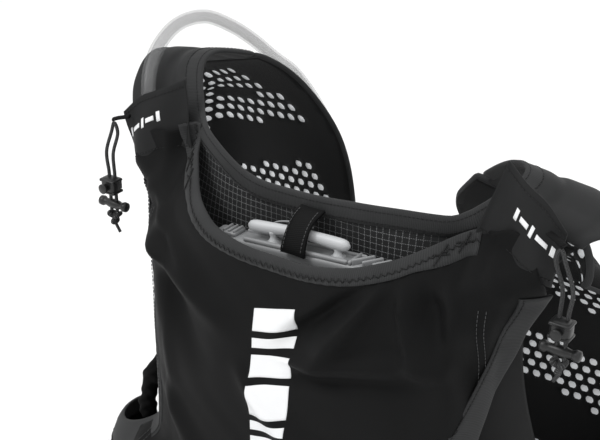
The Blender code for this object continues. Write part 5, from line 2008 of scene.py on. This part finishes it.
@dataclass
class HangTab:
    """Webbing tab on the neck edge that loops over the hanger bar."""

    x: float = 0.0045
    half: float = 0.0086

    def build(self) -> None:
        """Builds the tab and its two rows of stitches."""
        line = even([
            (-0.0120, 0.1440), (-0.0170, 0.1430), (-0.0235, 0.1405), (-0.0290, 0.1355), (-0.0328, 0.1290),
            (-0.0346, 0.1240), (-0.0348, 0.1205)
        ], 60)

        def place(u: Array, v: Array) -> tuple[Array, Array, Array]:
            """Points of the tab."""
            k = np.rint(v * 59).astype(int)
            w = (2 * u - 1) * self.half * (1 - 0.10 * np.sin(math.pi * v) ** 2)
            bow = 0.0006 * (1 - (2 * u - 1) ** 2)
            d = unit(np.gradient(line, axis=0))[k]
            out = np.stack((0 * u, d[:, 1], -d[:, 0]), -1)
            p = np.stack((self.x + w, line[k, 0], line[k, 1]), -1) + out * bow[:, None] * -1
            return p, np.stack((w, v * 0.05), -1), np.array((0.0, -1.0, 0.4))

        tab = finish_mesh("hanger_tab", grid(place, 16, 59), TAB)
        thicken(tab, 0.0017)
        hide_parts("hang_tab")
        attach(tab, "tab")
        rows = []
        for w in (-0.0066, 0.0066):
            k = np.arange(6, 56)
            points = np.stack((np.full(50, self.x + w), line[k, 0] - 0.0006, line[k, 1] + 0.0006), -1)
            rows.append(stitches(points, np.broadcast_to((0.0, -0.9, 0.5), (50, 3)), 0.0, 0.0024, 0.00022))
        seam = finish_mesh("tab_stitches", join(rows), THREAD_PALE)
        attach(seam, "tab")
        log.info("hang tab")


@dataclass
class ChestStrap:
    """One sliding chest strap: two webbings between gliders and a side-release buckle."""

    level: str
    height: float
    rail_y: float = 0.1720
    rail_x: float = 0.0800
    shift: float = 0.022

    def rail(self, side: float) -> float:
        """X of the rail of one side."""
        return self.rail_x * side - (self.shift if side > 0 else 0.0)

    def build(self) -> None:
        """Builds the webbings, and dresses the moulded parts."""
        body = self.level + "_chest_strap"
        z = self.height
        mid = (self.rail(1.0) + self.rail(-1.0)) / 2
        for tag, side in SIDES:
            start, end = self.rail(side) - side * 0.0085, mid + side * 0.0205

            def place(
                u: Array, v: Array, start: float = start, end: float = end
            ) -> tuple[Array, Array, Array]:
                """Points of the webbing."""
                x = start + (end - start) * u
                y = self.rail_y + 0.0018 + 0.004 * np.sin(math.pi / 2 * u)
                drop = -0.0004 * np.sin(math.pi * u)
                point = np.stack((x, y, z + drop + 0.0100 * (v - 0.5)), -1)
                return point, np.stack((x, v * 0.01), -1), np.array((0.0, 1.0, 0.0))

            web = thicken(finish_mesh(
                "chest_webbing_%s_%s" % (self.level, tag), grid(place, 50, 8), WEBBING
            ), 0.0015)
            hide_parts("webbing_%s_%s" % (self.level, tag))
            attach(web, body)
            bm = bmesh.new()
            for k in (-1, 0, 1):
                block(bm, (
                    self.rail(side) - side * 0.0015, self.rail_y + 0.0057, z + k * 0.0036
                ), (0.0090, 0.0007, 0.0012), 0.0003)
            grip = finish_mesh("glider_grip_%s_%s" % (self.level, tag), bm, HARD_BLACK)
            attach(grip, body)
        bm = bmesh.new()
        y = self.rail_y + 0.0052
        for side in (-1.0, 1.0):
            for k in range(3):
                block(bm, (
                    mid + side * 0.0150 - 0.0006 + k * 0.0018 * side, y + 0.0042, z
                ), (0.0008, 0.0006, 0.0110), 0.0002)
        grip = finish_mesh("buckle_grip_" + self.level, bm, HARD_BLACK)
        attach(grip, body)
        log.info("chest strap %s", self.level)


@dataclass
class Studio:
    """Pale floor, soft lights and the camera."""

    floor_z: float = -0.2080
    paper: tuple[float, float] = (0.93, 0.95)
    room: float = 0.80
    lamps: tuple = (
        ("key", (-1.3, -1.5, 2.3), 1.0, 32.0), ("fill", (1.8, -1.2, 1.4), 2.0, 4.0),
        ("top", (0.0, 0.4, 2.6), 2.2, 12.0), ("front", (0.4, 2.2, 1.4), 2.0, 9.0),
    )
    aim: tuple[float, float, float] = (0.0, 0.05, 0.05)
    lens: float = 74.25
    eye: tuple[float, float, float] = (0.39025, -0.57709, 0.46893)
    right: tuple[float, float, float] = (0.81915, 0.57358, 0.0)
    up: tuple[float, float, float] = (-0.25144, 0.35909, 0.89879)
    back: tuple[float, float, float] = (0.51553, -0.73625, 0.43837)

    def build(self) -> None:
        """Sets up the room."""
        bm = bmesh.new()
        bmesh.ops.create_grid(bm, x_segments=2, y_segments=2, size=30.0)
        bmesh.ops.translate(bm, vec=(0, 0, self.floor_z), verts=bm.verts)
        mesh = bpy.data.meshes.new("floor")
        bm.to_mesh(mesh)
        bm.free()
        floor = bpy.data.objects.new("floor", mesh)
        bpy.context.scene.collection.objects.link(floor)
        shader = Shader("floor_pale")
        low, high = self.paper
        paint = shader.blend(shader.noise(3.0, 2.0), (low, low, low), (high, high, high))
        shader.surface(Base_Color=paint, Roughness=0.9)
        mesh.materials.append(shader.material)
        for name, place, size, power in self.lamps:
            self.light(name, place, size, power)
        world = bpy.data.worlds.new("room")
        world.use_nodes = True
        world.node_tree.nodes["Background"].inputs[0].default_value = (1.0, 1.0, 1.0, 1.0)
        world.node_tree.nodes["Background"].inputs[1].default_value = self.room
        bpy.context.scene.world = world
        bpy.context.scene.view_settings.view_transform = "Standard"
        self.camera()

    def light(self, name: str, place: Sequence[float], size: float, power: float) -> None:
        """Adds a square soft light aimed at the vest."""
        data = bpy.data.lights.new(name, "AREA")
        data.energy, data.size = power, size
        obj = bpy.data.objects.new(name, data)
        bpy.context.scene.collection.objects.link(obj)
        obj.location = place
        obj.rotation_euler = (Vector(self.aim) - Vector(place)).to_track_quat("-Z", "Y").to_euler()

    def camera(self) -> None:
        """Adds the camera."""
        data = bpy.data.cameras.new("camera")
        data.lens, data.sensor_width, data.clip_end = self.lens, 36.0, 100.0
        obj = bpy.data.objects.new("camera", data)
        bpy.context.scene.collection.objects.link(obj)
        turn = Matrix((self.right, self.up, self.back)).transposed().to_4x4()
        obj.matrix_world = Matrix.Translation(self.eye) @ turn
        bpy.context.scene.camera = obj


def dress_frame() -> None:
    """Gives the moulded and woven parts that stay their finishes."""
    for name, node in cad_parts.items():
        finish = None
        if name.startswith(("glider", "buckle")):
            finish = HARD_BLACK
        elif name.startswith("strap_rail"):
            finish = WEBBING
        if finish is None:
            continue
        if not node.data.uv_layers.get("cloth"):
            layer = node.data.uv_layers.new(name="cloth")
            points = [node.data.vertices[loop.vertex_index].co for loop in node.data.loops]
            layer.data.foreach_set("uv", [c for p in points for c in (p.x + p.y, p.z)])
        for slot in node.material_slots:
            slot.material = finish.material()


def main() -> None:
    """Builds the vest in order."""
    logging.basicConfig(level=logging.INFO, format="%(name)s: %(message)s")
    Studio().build()
    DrinkingHose().build()
    for tag, side in SIDES:
        CordLock(tag, side).build()
    BackPocket().build()
    Back().build()
    for tag, side in SIDES:
        Harness(tag, side).build()
        HosePort(tag, side).build()
    Reservoir().build()
    HangTab().build()
    ChestStrap("upper", 0.0180).build()
    ChestStrap("lower", -0.0750).build()
    dress_frame()


if __name__ == "__main__":
    main()
